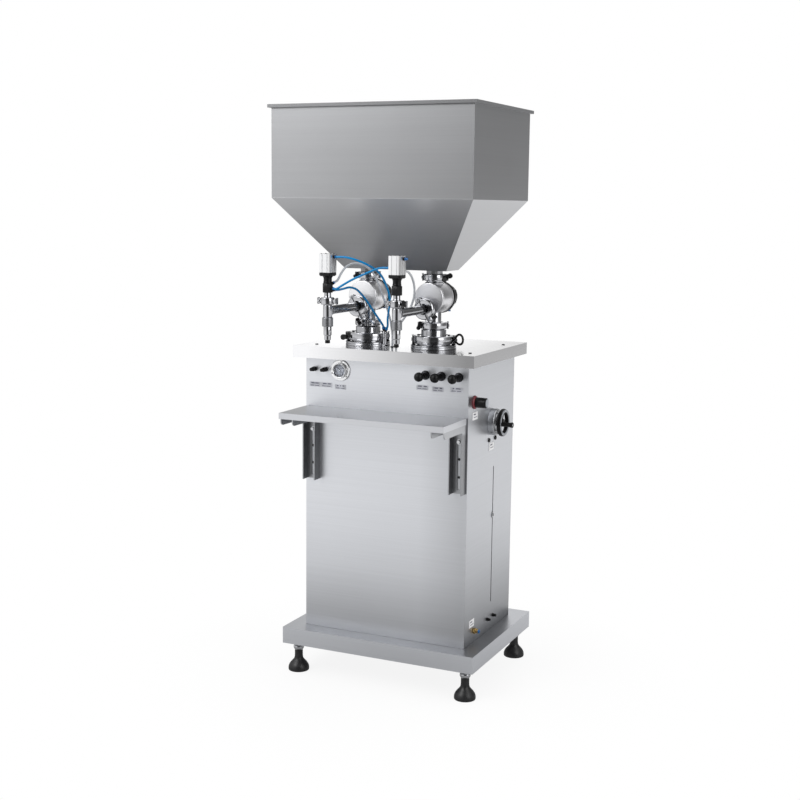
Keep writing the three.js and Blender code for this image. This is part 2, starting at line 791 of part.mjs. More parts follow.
function nozzleActuator(fittings) {
  const flange = rod(17.5, [sleeveTop + GAP, ACTUATOR.bottom + 1]).translate(0, nozzleY, 0);
  const square = centred(ACTUATOR.side, ACTUATOR.side, [ACTUATOR.bottom, ACTUATOR.top]);
  const bore = rod(NOZZLE.rod + GAP, [sleeveTop, NOZZLE.rodTop + 13], SIDES_OF.small);
  return cut(
    join(flange, square.translate(0, nozzleY, 0), ...fittings.map(fitting)),
    bore.translate(0, nozzleY, 0),
  );
}

const HEADS = {
  left: {
    clampTurn: 1.25 * Math.PI,
    bodyFittings: [LEFT_FITTINGS.lowRear, LEFT_FITTINGS.lowSide, LEFT_FITTINGS.neck],
    actuatorFittings: [LEFT_FITTINGS.top],
  },
  right: {
    clampTurn: 0,
    bodyFittings: [],
    actuatorFittings: [RIGHT_FITTINGS.side, RIGHT_FITTINGS.top, RIGHT_FITTINGS.rear],
  },
};
const CYLINDER_CLAMP = { neck: 47.6, lip: 52.6, outer: 57.5, height: [990.2, 1013.8], lug: 10 };
const LOWER_CLAMP = { neck: 28, lip: 32.5, outer: 38, height: [1032, 1052], lug: 8 };
const UPPER_CLAMP = { neck: 23.6, lip: 28, outer: 31, height: [1168, 1188], lug: 9 };

for (const { name, sign } of SIDES) {
  const { clampTurn, bodyFittings, actuatorFittings } = HEADS[name];
  const head = new THREE.Group();
  head.position.set(sign * HEAD.x, HEAD.y, 0);
  machine.add(head);
  const add = (label, geometry, material) =>
    piece(label + "_" + name, geometry, material, [0, 0, 0], head);
  add("material_cylinder", metering.clone(), turnedSteel());
  add("piston", piston(), plastic(0xe8e8e4, 0.5));
  add("cylinder_head", cylinderHead.clone(), turnedSteel());
  add("cylinder_clamp", clampRing({ ...CYLINDER_CLAMP, turn: clampTurn }), polished());
  add("lower_clamp", clampRing({ ...LOWER_CLAMP, turn: 0 }), polished());
  add("valve_body", valveBody(), turnedSteel());
  add("valve_plug", valvePlug(), turnedSteel());
  add("valve_actuator", valveActuator(), blackPlastic());
  add("upper_clamp", clampRing({ ...UPPER_CLAMP, turn: 0 }), polished());
  add("outlet_pipe", outletPipe(), polished());
  add("nozzle_body", nozzleBody(bodyFittings), polished());
  add("nozzle_plunger", nozzlePlunger(), blackPlastic());
  add("nozzle_actuator", nozzleActuator(actuatorFittings), aluminium());
}

// ---------------------------------------------------------------- air tubes
// Each route starts straight out of a fitting, and ends in a hole of the top plate or in
// another fitting.

function placed(side, port) {
  const [x, y, z] = port.from;
  return { ...port, from: [x + (side === "left" ? -HEAD.x : HEAD.x), y + HEAD.y, z] };
}
const start = (port) => [ahead(port, 0), ahead(port, 8)];
const finish = (port) => [ahead(port, 8), ahead(port, 0)];
const drop = (x) => [
  [x, TUBE.drop, 1008],
  [x, TUBE.drop, 986],
  [x, TUBE.drop, TUBE.end],
];

const AIR_TUBES = [
  {
    name: "left_top",
    material: blueTube,
    steps: 28,
    route: [
      ...start(placed("left", LEFT_FITTINGS.top)),
      [-52, -333, 1238],
      [-27, -329, 1233],
      [-5, -322, 1225],
      [14, -310, 1214],
      [27, -296, 1202],
      [34.5, -280, 1185],
      [37, -260, 1162],
      [34.5, -236, 1137],
      [26, -212, 1113],
      [11, -186, 1088],
      [-7, -155, 1061],
      ...finish(UNION_PORTS.top),
    ],
  },
  {
    name: "left_low",
    material: blueTube,
    steps: 22,
    route: [
      ...start(placed("left", LEFT_FITTINGS.lowRear)),
      [-70, -304, 1151],
      [-61, -288, 1154],
      [-52, -268, 1149],
      [-46, -245, 1134],
      [-41, -218, 1112],
      [-38.5, -190, 1088],
      [-37.8, -158, 1064],
      ...finish(UNION_PORTS.low),
    ],
  },
  {
    name: "crossover",
    material: blueTube,
    steps: 16,
    route: [
      ...start(placed("left", LEFT_FITTINGS.lowSide)),
      [-58, -337, 1162],
      [-34, -334, 1176],
      [-8, -327, 1189],
      [18, -327, 1200],
      [42, -331, 1209],
      [58, -333, 1212.5],
      ...finish(placed("right", RIGHT_FITTINGS.side)),
    ],
  },
  {
    name: "clear_left",
    material: clearTube,
    steps: 32,
    route: [
      ...start(placed("left", LEFT_FITTINGS.neck)),
      [-71, -319, 1193],
      [-60, -311, 1211],
      [-44, -300, 1220],
      [-26, -284, 1218],
      [-14, -262, 1206],
      [-8, -235, 1183],
      [-8, -205, 1150],
      [-11, -172, 1115],
      [-13, -142, 1082],
      [-13, -122, 1048],
      ...drop(-12),
    ],
  },
  {
    name: "clear_right",
    material: clearTube,
    steps: 26,
    route: [
      ...start(placed("right", RIGHT_FITTINGS.rear)),
      [112, -278, 1200],
      [111, -252, 1184],
      [105, -224, 1160],
      [93, -197, 1132],
      [73, -172, 1101],
      [46, -149, 1070],
      [18, -130, 1041],
      ...drop(0),
    ],
  },
];

const tubeSection = new THREE.Shape();
tubeSection.absarc(0, 0, TUBE.radius, 0, 2 * Math.PI);

function airTube({ route, steps }) {
  const path = new THREE.CatmullRomCurve3(route.map((point) => new THREE.Vector3(...point)));
  return new THREE.ExtrudeGeometry(tubeSection, {
    steps,
    curveSegments: TUBE.sides / 2,
    extrudePath: path,
    bevelEnabled: false,
  });
}
for (const tube of AIR_TUBES) {
  piece("air_tube_" + tube.name, airTube(tube), tube.material());
}

// ---------------------------------------------------------------- origin
// The origin is under the centre of the machine's own outline, at floor level.

const xLimits = [-(HOPPER.width / 2 + RIM.overhang), halfWidth + gripEnd];
const yLimits = [NOZZLE.y - NOZZLE.clamp, BASE.depth / 2];
machine.position.set(-(xLimits[0] + xLimits[1]) / 2, -(yLimits[0] + yLimits[1]) / 2, 0);

export default filler;
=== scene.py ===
# The look of a piston liquid filler with two heads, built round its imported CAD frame.
# Blender works in metres. The sizes below are in millimetres in the machine's own frame:
# x from the cabinet's centre line, y from the base's centre, z above the floor.

from math import cos, pi, radians, sin, sqrt

import bmesh
import bpy
from mathutils import Matrix, Vector


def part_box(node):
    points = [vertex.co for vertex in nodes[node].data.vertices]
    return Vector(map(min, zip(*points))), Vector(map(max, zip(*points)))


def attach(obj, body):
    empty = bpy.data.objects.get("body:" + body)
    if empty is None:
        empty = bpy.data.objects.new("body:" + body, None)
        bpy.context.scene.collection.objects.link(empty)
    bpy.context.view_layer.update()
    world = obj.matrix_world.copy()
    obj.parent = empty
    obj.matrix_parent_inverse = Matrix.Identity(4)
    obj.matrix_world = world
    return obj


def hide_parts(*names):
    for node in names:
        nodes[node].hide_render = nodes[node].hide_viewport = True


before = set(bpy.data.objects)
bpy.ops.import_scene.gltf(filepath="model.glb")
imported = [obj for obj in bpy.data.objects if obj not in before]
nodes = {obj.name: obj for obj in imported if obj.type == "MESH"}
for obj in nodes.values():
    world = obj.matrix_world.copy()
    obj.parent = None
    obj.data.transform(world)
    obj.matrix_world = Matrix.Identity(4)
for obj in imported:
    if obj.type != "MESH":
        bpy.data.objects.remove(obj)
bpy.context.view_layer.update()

MM = 0.001


def middle(node):
    low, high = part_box(node)
    return (low + high) / 2


ORIGIN = Vector((middle("front_panel").x, middle("base_tray").y, 0))


def metres(point):
    return ORIGIN + Vector(point) * MM


# ---- driving dimensions

# Inner radii of the outlet pipe and of the valve's ports, and a ferrule's outer radius.
PIPE_BORE, VALVE_BORE, FERRULE = 9.5, 17.0, 25.25
HEADS = {"left": -104.0, "right": 104.0}
HEAD_Y = -82.0
NOZZLE_Y = -334.0
FRONT_FACE = -182.0
RIGHT_FACE = 254.0
PLATE_TOP = 976.0
VALVE_AXIS = 1120.0
OUTLET_Z = 1092.0
PANEL_ROW = 908.0

# ---- camera

LENS, SENSOR_WIDTH = 58.87755, 36.0
CAMERA_AT = (1575.06, -3493.7, 1377.5)
# The turn to the left, the tilt up and the roll, in radians.
YAW, PITCH, ROLL = 0.4324, -0.1475, 0.0113


def in_scene(name, data):
    item = bpy.data.objects.new(name, data)
    bpy.context.scene.collection.objects.link(item)
    return item


def make_camera():
    forward = Vector((-sin(YAW) * cos(PITCH), cos(YAW) * cos(PITCH), sin(PITCH)))
    right = Vector((cos(YAW), sin(YAW), 0))
    up = right.cross(forward)
    across = right * cos(ROLL) + up * sin(ROLL)
    above = up * cos(ROLL) - right * sin(ROLL)
    turn = Matrix((across, above, -forward)).transposed().to_4x4()
    data = bpy.data.cameras.new("camera")
    data.lens = LENS
    data.sensor_width = SENSOR_WIDTH
    data.clip_end = 100
    camera = in_scene("camera", data)
    camera.matrix_world = Matrix.Translation(metres(CAMERA_AT)) @ turn
    bpy.context.scene.camera = camera


make_camera()

# ---- node helpers


class Nodes:
    """The node tree of one material or world, with short calls for what it needs."""

    def __init__(self, tree):
        self.tree = tree
        tree.nodes.clear()

    def add(self, kind, inputs=(), **settings):
        node = self.tree.nodes.new(kind)
        for key, value in settings.items():
            setattr(node, key, value)
        for key, value in dict(inputs).items():
            if isinstance(value, bpy.types.NodeSocket):
                self.tree.links.new(value, node.inputs[key])
            else:
                node.inputs[key].default_value = value
        return node

    def math(self, operation, a, b=0.0, c=0.0):
        node = self.add("ShaderNodeMath", {0: a, 1: b, 2: c}, operation=operation)
        return node.outputs[0]

    def plus(self, a, b):
        return self.math("ADD", a, b)

    def minus(self, a, b):
        return self.math("SUBTRACT", a, b)

    def times(self, a, b):
        return self.math("MULTIPLY", a, b)

    def along(self, x, y, way):
        """How much of a level vector lies along a direction."""
        return self.plus(self.times(x, way[0]), self.times(y, way[1]))

    def ramp(self, factor, stops):
        """A grey ramp, with stops given as (position, shade)."""
        node = self.add("ShaderNodeValToRGB", {0: factor})
        elements = node.color_ramp.elements
        while len(elements) < len(stops):
            elements.new(0.5)
        for element, (position, shade) in zip(elements, stops):
            element.position = position
            element.color = (shade, shade, shade, 1)
        return node.outputs[0]

    def noise(self, vector, scale, detail=3.0, roughness=0.5, seed=0.0):
        inputs = {"Vector": vector, "Scale": scale, "Detail": detail, "Roughness": roughness,
                  "W": seed}
        return self.add("ShaderNodeTexNoise", inputs, noise_dimensions="4D").outputs["Fac"]

    def between(self, factor, low, high):
        """factor, from 0 to 1, spread from low to high."""
        return self.math("MULTIPLY_ADD", factor, high - low, low)

    def mix(self, factor, a, b):
        """Between two colours."""
        node = self.add("ShaderNodeMix", {0: factor, 6: (*a, 1), 7: (*b, 1)}, data_type="RGBA")
        return node.outputs[2]

    def blend(self, factor, a, b):
        """Between two values."""
        return self.add("ShaderNodeMix", {0: factor, 2: a, 3: b}, data_type="FLOAT").outputs[0]

    def place(self):
        return self.add("ShaderNodeTexCoord").outputs["Object"]

    def normal(self):
        return self.add("ShaderNodeNewGeometry").outputs["Normal"]

    def split(self, vector):
        return self.add("ShaderNodeSeparateXYZ", {0: vector}).outputs

    def join(self, x, y, z=0.0):
        return self.add("ShaderNodeCombineXYZ", {0: x, 1: y, 2: z}).outputs[0]

    def reach(self, x, y):
        """The length of a level vector."""
        return self.math("SQRT", self.plus(self.times(x, x), self.times(y, y)))

    def bump(self, strength, distance, height):
        inputs = {"Strength": strength, "Distance": distance, "Height": height}
        return self.add("ShaderNodeBump", inputs).outputs[0]

    def scaled(self, colour, share):
        inputs = {0: tuple(colour), 3: share}
        return self.add("ShaderNodeVectorMath", inputs, operation="SCALE").outputs[0]


def new_material(name):
    material = bpy.data.materials.new(name)
    material.use_nodes = True
    n = Nodes(material.node_tree)
    shader = n.add("ShaderNodeBsdfPrincipled")
    output = n.add("ShaderNodeOutputMaterial")
    n.tree.links.new(shader.outputs[0], output.inputs[0])
    return material, n, shader


def drive(n, shader, **links):
    """Links what varies over the surface, and sets what is the same all over it."""
    names = {
        "colour": "Base Color",
        "roughness": "Roughness",
        "normal": "Normal",
        "metallic": "Metallic",
        "coat": "Coat Weight",
        "coat_roughness": "Coat Roughness",
        "transmission": "Transmission Weight",
        "ior": "IOR",
        "specular": "Specular IOR Level",
    }
    for key, value in links.items():
        socket = shader.inputs[names[key]]
        if isinstance(value, bpy.types.NodeSocket):
            n.tree.links.new(value, socket)
        else:
            socket.default_value = value


# ---- materials


def grain_vector(n, along, fine):
    """Object coordinates stretched along the sheet's horizontal grain, in cycles a metre."""
    place = n.place()
    x, y, z = n.split(place)
    steep = n.split(n.normal())[2]
    flat = n.math("GREATER_THAN", n.math("ABSOLUTE", steep), 0.9)
    low = n.times(n.plus(x, y), along)
    kept = n.times(n.minus(x, y), along)
    return n.join(low, kept, n.times(n.blend(flat, z, y), fine)), place


def facing(n, axis, power=2.0):
    """1 where the surface faces along an axis, falling to 0 where it turns away."""
    part = n.split(n.normal())["XYZ".index(axis)]
    return n.math("POWER", n.math("ABSOLUTE", part), power)


# Cycles a metre across the grain, how much grain and rolling bands show, and the grain's depth.
GRAIN, GRAIN_SHOWS, BANDS_SHOW, GRAIN_DEPTH = 1100.0, 0.16, 0.07, 0.0004


def brushed_metal(name, colour, roughness, along=2.5, bump=0.05, smudge=0.06, side=1.0, top=1.0,
                  shade_by=None):
    """Sheet steel with a long horizontal grain, faint rolling marks and handling smudges.

    side and top scale the brightness of the faces along x and z, as painted shade and painted
    highlight. shade_by gives a further share of it from the place in metres, as painted shade.
    """
    material, n, shader = new_material(name)
    vector, place = grain_vector(n, along, GRAIN)
    grain = n.noise(vector, 1.0, detail=4.0, roughness=0.6)
    wide = grain_vector(n, along * 0.5, GRAIN * 0.12)[0]
    bands = n.noise(wide, 1.0, detail=2.0, seed=3.0)
    cloud = n.noise(place, 3.2, detail=3.0, seed=7.0)
    shade = n.plus(n.times(n.minus(grain, 0.5), GRAIN_SHOWS),
                   n.times(n.minus(bands, 0.5), BANDS_SHOW))
    bright = n.plus(n.plus(shade, 1.0), n.between(cloud, -smudge, smudge))
    # Painted shade and painted highlight from the faces' direction and from shade_by.
    if side != 1.0:
        bright = n.times(bright, n.between(facing(n, "X"), 1.0, side))
    if top != 1.0:
        bright = n.times(bright, n.between(facing(n, "Z"), 1.0, top))
    if shade_by:
        bright = n.times(bright, shade_by(n, *n.split(place)))
    rough = n.plus(n.between(grain, roughness - 0.05, roughness + 0.05),
                   n.between(cloud, -0.05, 0.05))
    drive(n, shader, colour=n.scaled(colour, bright), roughness=rough,
          normal=n.bump(bump, GRAIN_DEPTH, grain), metallic=1.0)
    return material


def rising(n, value, low, high, stops):
    """A ramp over a coordinate, with stops given as (coordinate, share)."""
    part = n.math("DIVIDE", n.minus(value, low), high - low)
    return n.ramp(part, [((spot - low) / (high - low), share) for spot, share in stops])


def cabinet_shade(n, across, _, height):
    """Painted shade: darker towards the base and towards the right."""
    low = rising(n, height, 0.0, 1.0, [(0.08, 0.56), (0.2, 0.74), (0.34, 0.95), (0.46, 1.0)])
    return n.times(low, rising(n, across, -0.3, 0.3, [(0.1, 1.0), (0.23, 0.8)]))


# Heights in metres of the fold between the hopper's box and funnel, and of its rim.
FOLD, RIM = 1.395, 1.64


def hopper_shade(n, across, _, height):
    """Painted shade: the front grows darker down the funnel and, on the box, towards the right
    and at the rim.
    """
    front = n.minus(1.0, facing(n, "X", 1.0))
    stops = [(1.19, 0.4), (FOLD, 1.04), (FOLD + 0.002, 0.77), (RIM - 0.002, 0.77), (RIM, 0.48)]
    funnel = rising(n, height, 1.1, 1.7, stops)
    slant = rising(n, across, -0.4, 0.4, [(-0.3, 0.97), (0.3, 0.68)])
    slant = n.blend(n.math("GREATER_THAN", height, FOLD), 1.0, slant)
    return n.blend(front, 0.9, n.times(funnel, slant))


def plate_shade(n, across, *_):
    """Painted shade: darker towards the right."""
    return rising(n, across, -0.4, 0.4, [(-0.25, 1.0), (0.25, 0.3)])


RINGS = 900.0  # cycles a metre outwards on turned metal


def smooth_metal(name, colour, roughness, speck=90.0, bump=0.02, centre=None, axis="Z"):
    """Polished metal with fine scratches, or turned metal with rings round an axis."""
    material, n, shader = new_material(name)
    place = n.place()
    fleck = n.noise(place, speck, detail=5.0, roughness=0.65)
    cloud = n.noise(place, 14.0, detail=2.0, seed=5.0)
    height, shade, spread = fleck, n.between(fleck, 0.94, 1.05), 0.25
    if centre is not None:
        x, y, z = n.split(place)
        first, second, along = {"Y": (x, z, y), "Z": (x, y, z)}[axis]
        radius = n.reach(n.minus(first, centre[0]), n.minus(second, centre[1]))
        height = n.noise(n.join(radius, along), RINGS, detail=3.0, seed=2.0)
        shade, spread = n.between(height, 0.86, 1.1), 0.3
    rough = n.plus(n.between(height, roughness * (1 - spread), roughness * (1 + spread)),
                   n.between(cloud, -0.03, 0.03))
    drive(n, shader, colour=n.scaled(colour, shade), roughness=rough,
          normal=n.bump(bump, 0.0003, height), metallic=1.0)
    return material


def moulded_plastic(name, colour, roughness, grain=1400.0, bump=0.12, coat=0.0, wear=0.03,
                    specular=0.5):
    """Moulded plastic with a fine moulded texture and paler handling marks."""
    material, n, shader = new_material(name)
    place = n.place()
    texture = n.noise(place, grain, detail=3.0, roughness=0.6)
    cloud = n.noise(place, 45.0, detail=4.0, seed=4.0)
    paler = tuple(min(1.0, c * 1.5 + wear) for c in colour)
    tint = n.mix(n.ramp(cloud, [(0.45, 0.0), (0.8, 1.0)]), colour, paler)
    rough = n.plus(n.between(cloud, roughness - 0.08, roughness + 0.08),
                   n.between(texture, -0.04, 0.04))
    drive(n, shader, colour=tint, roughness=rough, normal=n.bump(bump, 0.0002, texture),
          metallic=0.0, coat=coat, coat_roughness=0.08, specular=specular)
    return material


def tube_plastic(name, colour, deep, roughness, transmission):
    """Extruded tube, slightly cloudy, with faint lines along it."""
    material, n, shader = new_material(name)
    place = n.place()
    cloud = n.noise(place, 60.0, detail=3.0, seed=1.0)
    fine = n.noise(place, 700.0, detail=3.0, seed=2.0)
    tint = n.mix(n.ramp(cloud, [(0.3, 0.0), (0.7, 1.0)]), colour, deep)
    drive(n, shader, colour=tint, roughness=n.between(fine, roughness - 0.06, roughness + 0.08),
          normal=n.bump(0.08, 0.0002, fine), transmission=transmission, ior=1.5, specular=0.3,
          coat=0.06, coat_roughness=0.1)
    return material


def bracket_metal():
    """Sheet steel with painted shade in the channel, darker on its cheeks, and a painted highlight
    on the arms under the shelf.
    """
    material, n, shader = new_material("bracket_sheet_steel")
    place = n.place()
    height = n.split(place)[2]
    arm_highlight = rising(n, height, 0.7, 0.8, [(0.752, 0.0), (0.76, 1.0)])
    fleck = n.noise(place, 160.0, detail=4.0)
    web_and_cheek_shade = n.between(facing(n, "Y", 4.0), 0.3, 0.38)
    shade = n.blend(arm_highlight, n.times(web_and_cheek_shade, n.between(fleck, 0.75, 1.25)), 0.5)
    drive(n, shader, colour=n.scaled((1.0, 1.02, 1.06), shade),
          roughness=n.between(fleck, 0.3, 0.42), normal=n.bump(0.05, 0.0003, fleck), metallic=1.0)
    return material


# The side, top and shade_by settings below are painted shade and painted highlight; the hopper's
# darker colour is painted shade as well.
SHEET = brushed_metal("sheet_steel", (0.76, 0.775, 0.81), 0.38, along=1.4, bump=0.03, side=1.02,
                      shade_by=cabinet_shade)
BASE_SHEET = brushed_metal("base_sheet_steel", (0.68, 0.695, 0.73), 0.36, side=1.15, top=0.6)
HOPPER_SHEET = brushed_metal("hopper_sheet_steel", (0.52, 0.525, 0.54), 0.36, along=1.4,
                             bump=0.03, smudge=0.03, shade_by=hopper_shade)
SHELF_SHEET = brushed_metal("shelf_sheet_steel", (0.64, 0.65, 0.68), 0.34, top=0.42)
BRACKET_SHEET = bracket_metal()
PLATE_SHEET = brushed_metal("plate_sheet_steel", (0.95, 0.95, 0.965), 0.2, bump=0.02, side=1.2,
                            top=0.94, shade_by=plate_shade)
HIDDEN_STEEL = smooth_metal("machined_steel", (0.5, 0.51, 0.53), 0.3, speck=220.0)
POLISHED = smooth_metal("polished_steel", (0.52, 0.525, 0.545), 0.12)
# Also the painted shade in the openings behind the bracket.
DARK_STEEL_AND_HOLE_SHADE = smooth_metal("blackened_steel_and_hole_shade", (0.05, 0.05, 0.055), 0.36, speck=160.0)
ALUMINIUM = smooth_metal("anodised_aluminium", (0.93, 0.935, 0.945), 0.3, speck=500.0, bump=0.03)
BRASS = smooth_metal("brass", (0.62, 0.43, 0.17), 0.28)
BLACK = moulded_plastic("black_plastic", (0.003, 0.003, 0.0035), 0.4, coat=0.05, wear=0.004,
                        specular=0.25)
FOOT_BLACK = moulded_plastic("foot_plastic", (0.009, 0.009, 0.01), 0.42, grain=900.0, wear=0.01)
WHITE = moulded_plastic("white_plastic", (0.78, 0.79, 0.81), 0.42, wear=0.02)
RED = moulded_plastic("red_plastic", (0.16, 0.012, 0.02), 0.36)
BLUE = moulded_plastic("blue_plastic", (0.01, 0.14, 0.42), 0.36)
GREY_PLASTIC = moulded_plastic("grey_plastic", (0.3, 0.32, 0.35), 0.4)
LABEL_FILM = moulded_plastic("label_film", (0.52, 0.53, 0.57), 0.4, grain=900.0, bump=0.04)
LABEL_WHITE = moulded_plastic("label_white", (0.97, 0.97, 0.98), 0.4, grain=900.0, bump=0.04)
LABEL_INK = moulded_plastic("label_ink", (0.05, 0.05, 0.1), 0.5, grain=900.0, bump=0.04)
GAUGE_FACE = moulded_plastic("gauge_face", (0.6, 0.62, 0.7), 0.35, grain=700.0, bump=0.03)
KNURLED_STEEL = smooth_metal("knurled_steel", (0.3, 0.305, 0.32), 0.36, speck=400.0, bump=0.1)
PIPE_STEEL = smooth_metal("pipe_steel", (0.36, 0.365, 0.38), 0.16)
TURNED, VALVE_STEEL = {}, {}
# The left valve's steel is lighter than the right's: painted light on two copies of one steel.
for side, bright in (("left", 0.86), ("right", 0.72)):
    axis = metres((HEADS[side], HEAD_Y, VALVE_AXIS))
    TURNED[side] = smooth_metal("turned_steel_" + side, (0.5, 0.505, 0.525), 0.16, bump=0.05,
                                centre=(axis.x, axis.y))
    VALVE_STEEL[side] = smooth_metal("valve_steel_" + side, (bright, bright, bright + 0.02), 0.34,
                                     bump=0.08, centre=(axis.x, axis.z), axis="Y")


def clear_glass():
    material, n, shader = new_material("gauge_glass")
    film = n.noise(n.place(), 120.0, detail=3.0)
    drive(n, shader, colour=(0.95, 0.97, 1.0, 1), roughness=n.between(film, 0.02, 0.1),
          transmission=1.0, ior=1.45)
    return material


GLASS = clear_glass()
BLUE_TUBE = tube_plastic("blue_tube_plastic", (0.0, 0.27, 0.6), (0.0, 0.2, 0.52), 0.26, 0.0)
CLEAR_TUBE = tube_plastic("clear_tube_plastic", (0.78, 0.8, 0.83), (0.66, 0.69, 0.74), 0.24, 0.3)

# ---- air tubes
# The points repeat the routes of the CAD tubes.

TUBE_DIAMETER = 6.0
FITTING_LENGTH = 7.3
TUBE_DROP_Y = -112.0

FITTINGS = {
    "left_rear": {"from": (-104, NOZZLE_Y, 1148), "way": (0.8, 0.6, 0), "inner": 14.5},
    "left_side": {"from": (-104, NOZZLE_Y, 1152), "way": (1, -0.2, 0), "inner": 14.5},
    "left_neck": {"from": (-104, NOZZLE_Y, 1158), "way": (0.77, 0.3, 0.5), "inner": 15},
    "left_top": {"from": (-104, NOZZLE_Y, 1238), "way": (1, 0, 0), "inner": 18},
    "right_side": {"from": (104, NOZZLE_Y, 1213), "way": (-1, 0, 0), "inner": 18},
    "right_top": {"from": (104, NOZZLE_Y, 1238), "way": (1, 0, 0), "inner": 18},
    "right_rear": {"from": (111, NOZZLE_Y, 1204), "way": (0, 1, 0), "inner": 18},
}
UNION_AT = (-37, -110, 1020)
UNION_PORTS = {
    "union_low": {"from": UNION_AT, "way": (-0.05, -0.55, 0.83), "inner": 7},
    "union_top": {"from": UNION_AT, "way": (0.6, -0.5, 0.62), "inner": 7},
}


def leaving(name, extra):
    port = FITTINGS.get(name) or UNION_PORTS[name]
    way = Vector(port["way"]).normalized()
    return tuple(Vector(port["from"]) + way * (port["inner"] + FITTING_LENGTH + extra))


def start(name):
    return [leaving(name, 0), leaving(name, 8)]


def finish(name):
    return start(name)[::-1]


def drop(x):
    return [(x, TUBE_DROP_Y, 1008), (x, TUBE_DROP_Y, 986), (x, TUBE_DROP_Y, 964)]


AIR_TUBES = {
    "left_top": start("left_top") + [
        (-52, -333, 1238), (-27, -329, 1233), (-5, -322, 1225), (14, -310, 1214),
        (27, -296, 1202), (34.5, -280, 1185), (37, -260, 1162), (34.5, -236, 1137),
        (26, -212, 1113), (11, -186, 1088), (-7, -155, 1061),
    ] + finish("union_top"),
    "left_low": start("left_rear") + [
        (-70, -304, 1151), (-61, -288, 1154), (-52, -268, 1149), (-46, -245, 1134),
        (-41, -218, 1112), (-38.5, -190, 1088), (-37.8, -158, 1064),
    ] + finish("union_low"),
    "crossover": start("left_side") + [
        (-58, -337, 1162), (-34, -334, 1176), (-8, -327, 1189), (18, -327, 1200),
        (42, -331, 1209), (58, -333, 1212.5),
    ] + finish("right_side"),
    "clear_left": start("left_neck") + [
        (-71, -319, 1193), (-60, -311, 1211), (-44, -300, 1220), (-26, -284, 1218),
        (-14, -262, 1206), (-8, -235, 1183), (-8, -205, 1150), (-11, -172, 1115),
        (-13, -142, 1082), (-13, -122, 1048),
    ] + drop(-12),
    "clear_right": start("right_rear") + [
        (112, -278, 1200), (111, -252, 1184), (105, -224, 1160), (93, -197, 1132),
        (73, -172, 1101), (46, -149, 1070), (18, -130, 1041),
    ] + drop(0),
}


def centripetal(points, steps):
    """A smooth line through the points: a Catmull-Rom curve with centripetal spacing."""
    points = [Vector(p) for p in points]
    ends = [points[0] * 2 - points[1], *points, points[-1] * 2 - points[-2]]
    line = []
    for p0, p1, p2, p3 in zip(ends, ends[1:], ends[2:], ends[3:]):
        knots = [0.0]
        for a, b in ((p0, p1), (p1, p2), (p2, p3)):
            knots.append(knots[-1] + max((b - a).length, 1e-6) ** 0.5)
        t0, t1, t2, t3 = knots
        for i in range(steps):
            t = t1 + (t2 - t1) * i / steps
            a1 = p0 * ((t1 - t) / (t1 - t0)) + p1 * ((t - t0) / (t1 - t0))
            a2 = p1 * ((t2 - t) / (t2 - t1)) + p2 * ((t - t1) / (t2 - t1))
            a3 = p2 * ((t3 - t) / (t3 - t2)) + p3 * ((t - t2) / (t3 - t2))
            b1 = a1 * ((t2 - t) / (t2 - t0)) + a2 * ((t - t0) / (t2 - t0))
            b2 = a2 * ((t3 - t) / (t3 - t1)) + a3 * ((t - t1) / (t3 - t1))
            line.append(b1 * ((t2 - t) / (t2 - t1)) + b2 * ((t - t1) / (t2 - t1)))
    line.append(points[-1])
    return line


def make_air_tube(name, route):
    line = [metres(p) for p in centripetal(route, steps=5)]
    data = bpy.data.curves.new("tube_" + name, "CURVE")
    data.dimensions = "3D"
    data.bevel_depth = TUBE_DIAMETER / 2 * MM
    data.bevel_resolution = 4
    data.use_fill_caps = True
    spline = data.splines.new("POLY")
    spline.points.add(len(line) - 1)
    for point, place in zip(spline.points, line):
        point.co = (*place, 1)
    spline.use_smooth = True
    clear = name.startswith("clear")
    data.materials.append(CLEAR_TUBE if clear else BLUE_TUBE)
    tube = in_scene("tube_" + name, data)
    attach(tube, "root")
    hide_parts("air_tube_" + name)


for tube_name, route in AIR_TUBES.items():
    make_air_tube(tube_name, route)

# ---- carried-over CAD nodes

CARRIED = {
    "base_tray": (BASE_SHEET, 1.6),
    "front_panel": (SHEET, 0.6),
    "left_panel": (SHEET, 0.6),
    "right_panel": (SHEET, 0.6),
    "rear_cover": (SHEET, 0.6),
    "top_plate": (PLATE_SHEET, 1.4),
    "shelf_tray": (SHELF_SHEET, 1.1),
    "shelf_bracket_left": (BRACKET_SHEET, 0.8),
    "shelf_bracket_right": (BRACKET_SHEET, 0.8),
    "hopper": (HOPPER_SHEET, 1.2),
    "stop_block": (HIDDEN_STEEL, 0.5),
    "adjusting_screw": (HIDDEN_STEEL, 0.4),
    "drive_cylinder": (ALUMINIUM, 0.5),
    "drive_yoke": (HIDDEN_STEEL, 0.5),
    "piston_left": (WHITE, 0.5),
    "piston_right": (WHITE, 0.5),
    "valve_plug_left": (HIDDEN_STEEL, 0.4),
    "valve_plug_right": (HIDDEN_STEEL, 0.4),
}


def carry_over(name, material, bevel):
    node = nodes[name]
    node.data.materials.clear()
    node.data.materials.append(material)
    rounding = node.modifiers.new("rounded_edges", "BEVEL")
    rounding.width = bevel * MM
    rounding.segments = 2
    rounding.limit_method = "ANGLE"
    rounding.angle_limit = radians(35)
    rounding.harden_normals = True


for node_name, (material, bevel) in CARRIED.items():
    carry_over(node_name, material, bevel)

# ---- shape helpers
# Shapes are made in millimetres in the machine's frame, and become metres in make_piece.

TO_METRES = Matrix.Translation(ORIGIN) @ Matrix.Scale(MM, 4)
UP = (0, 0, 1)
FRONT = (0, -1, 0)
BACK = (0, 1, 0)
DOWN = (0, 0, -1)


def at(x, y, z):
    return Matrix.Translation((x, y, z))


def spin(angle):
    return Matrix.Rotation(angle, 4, "Z")


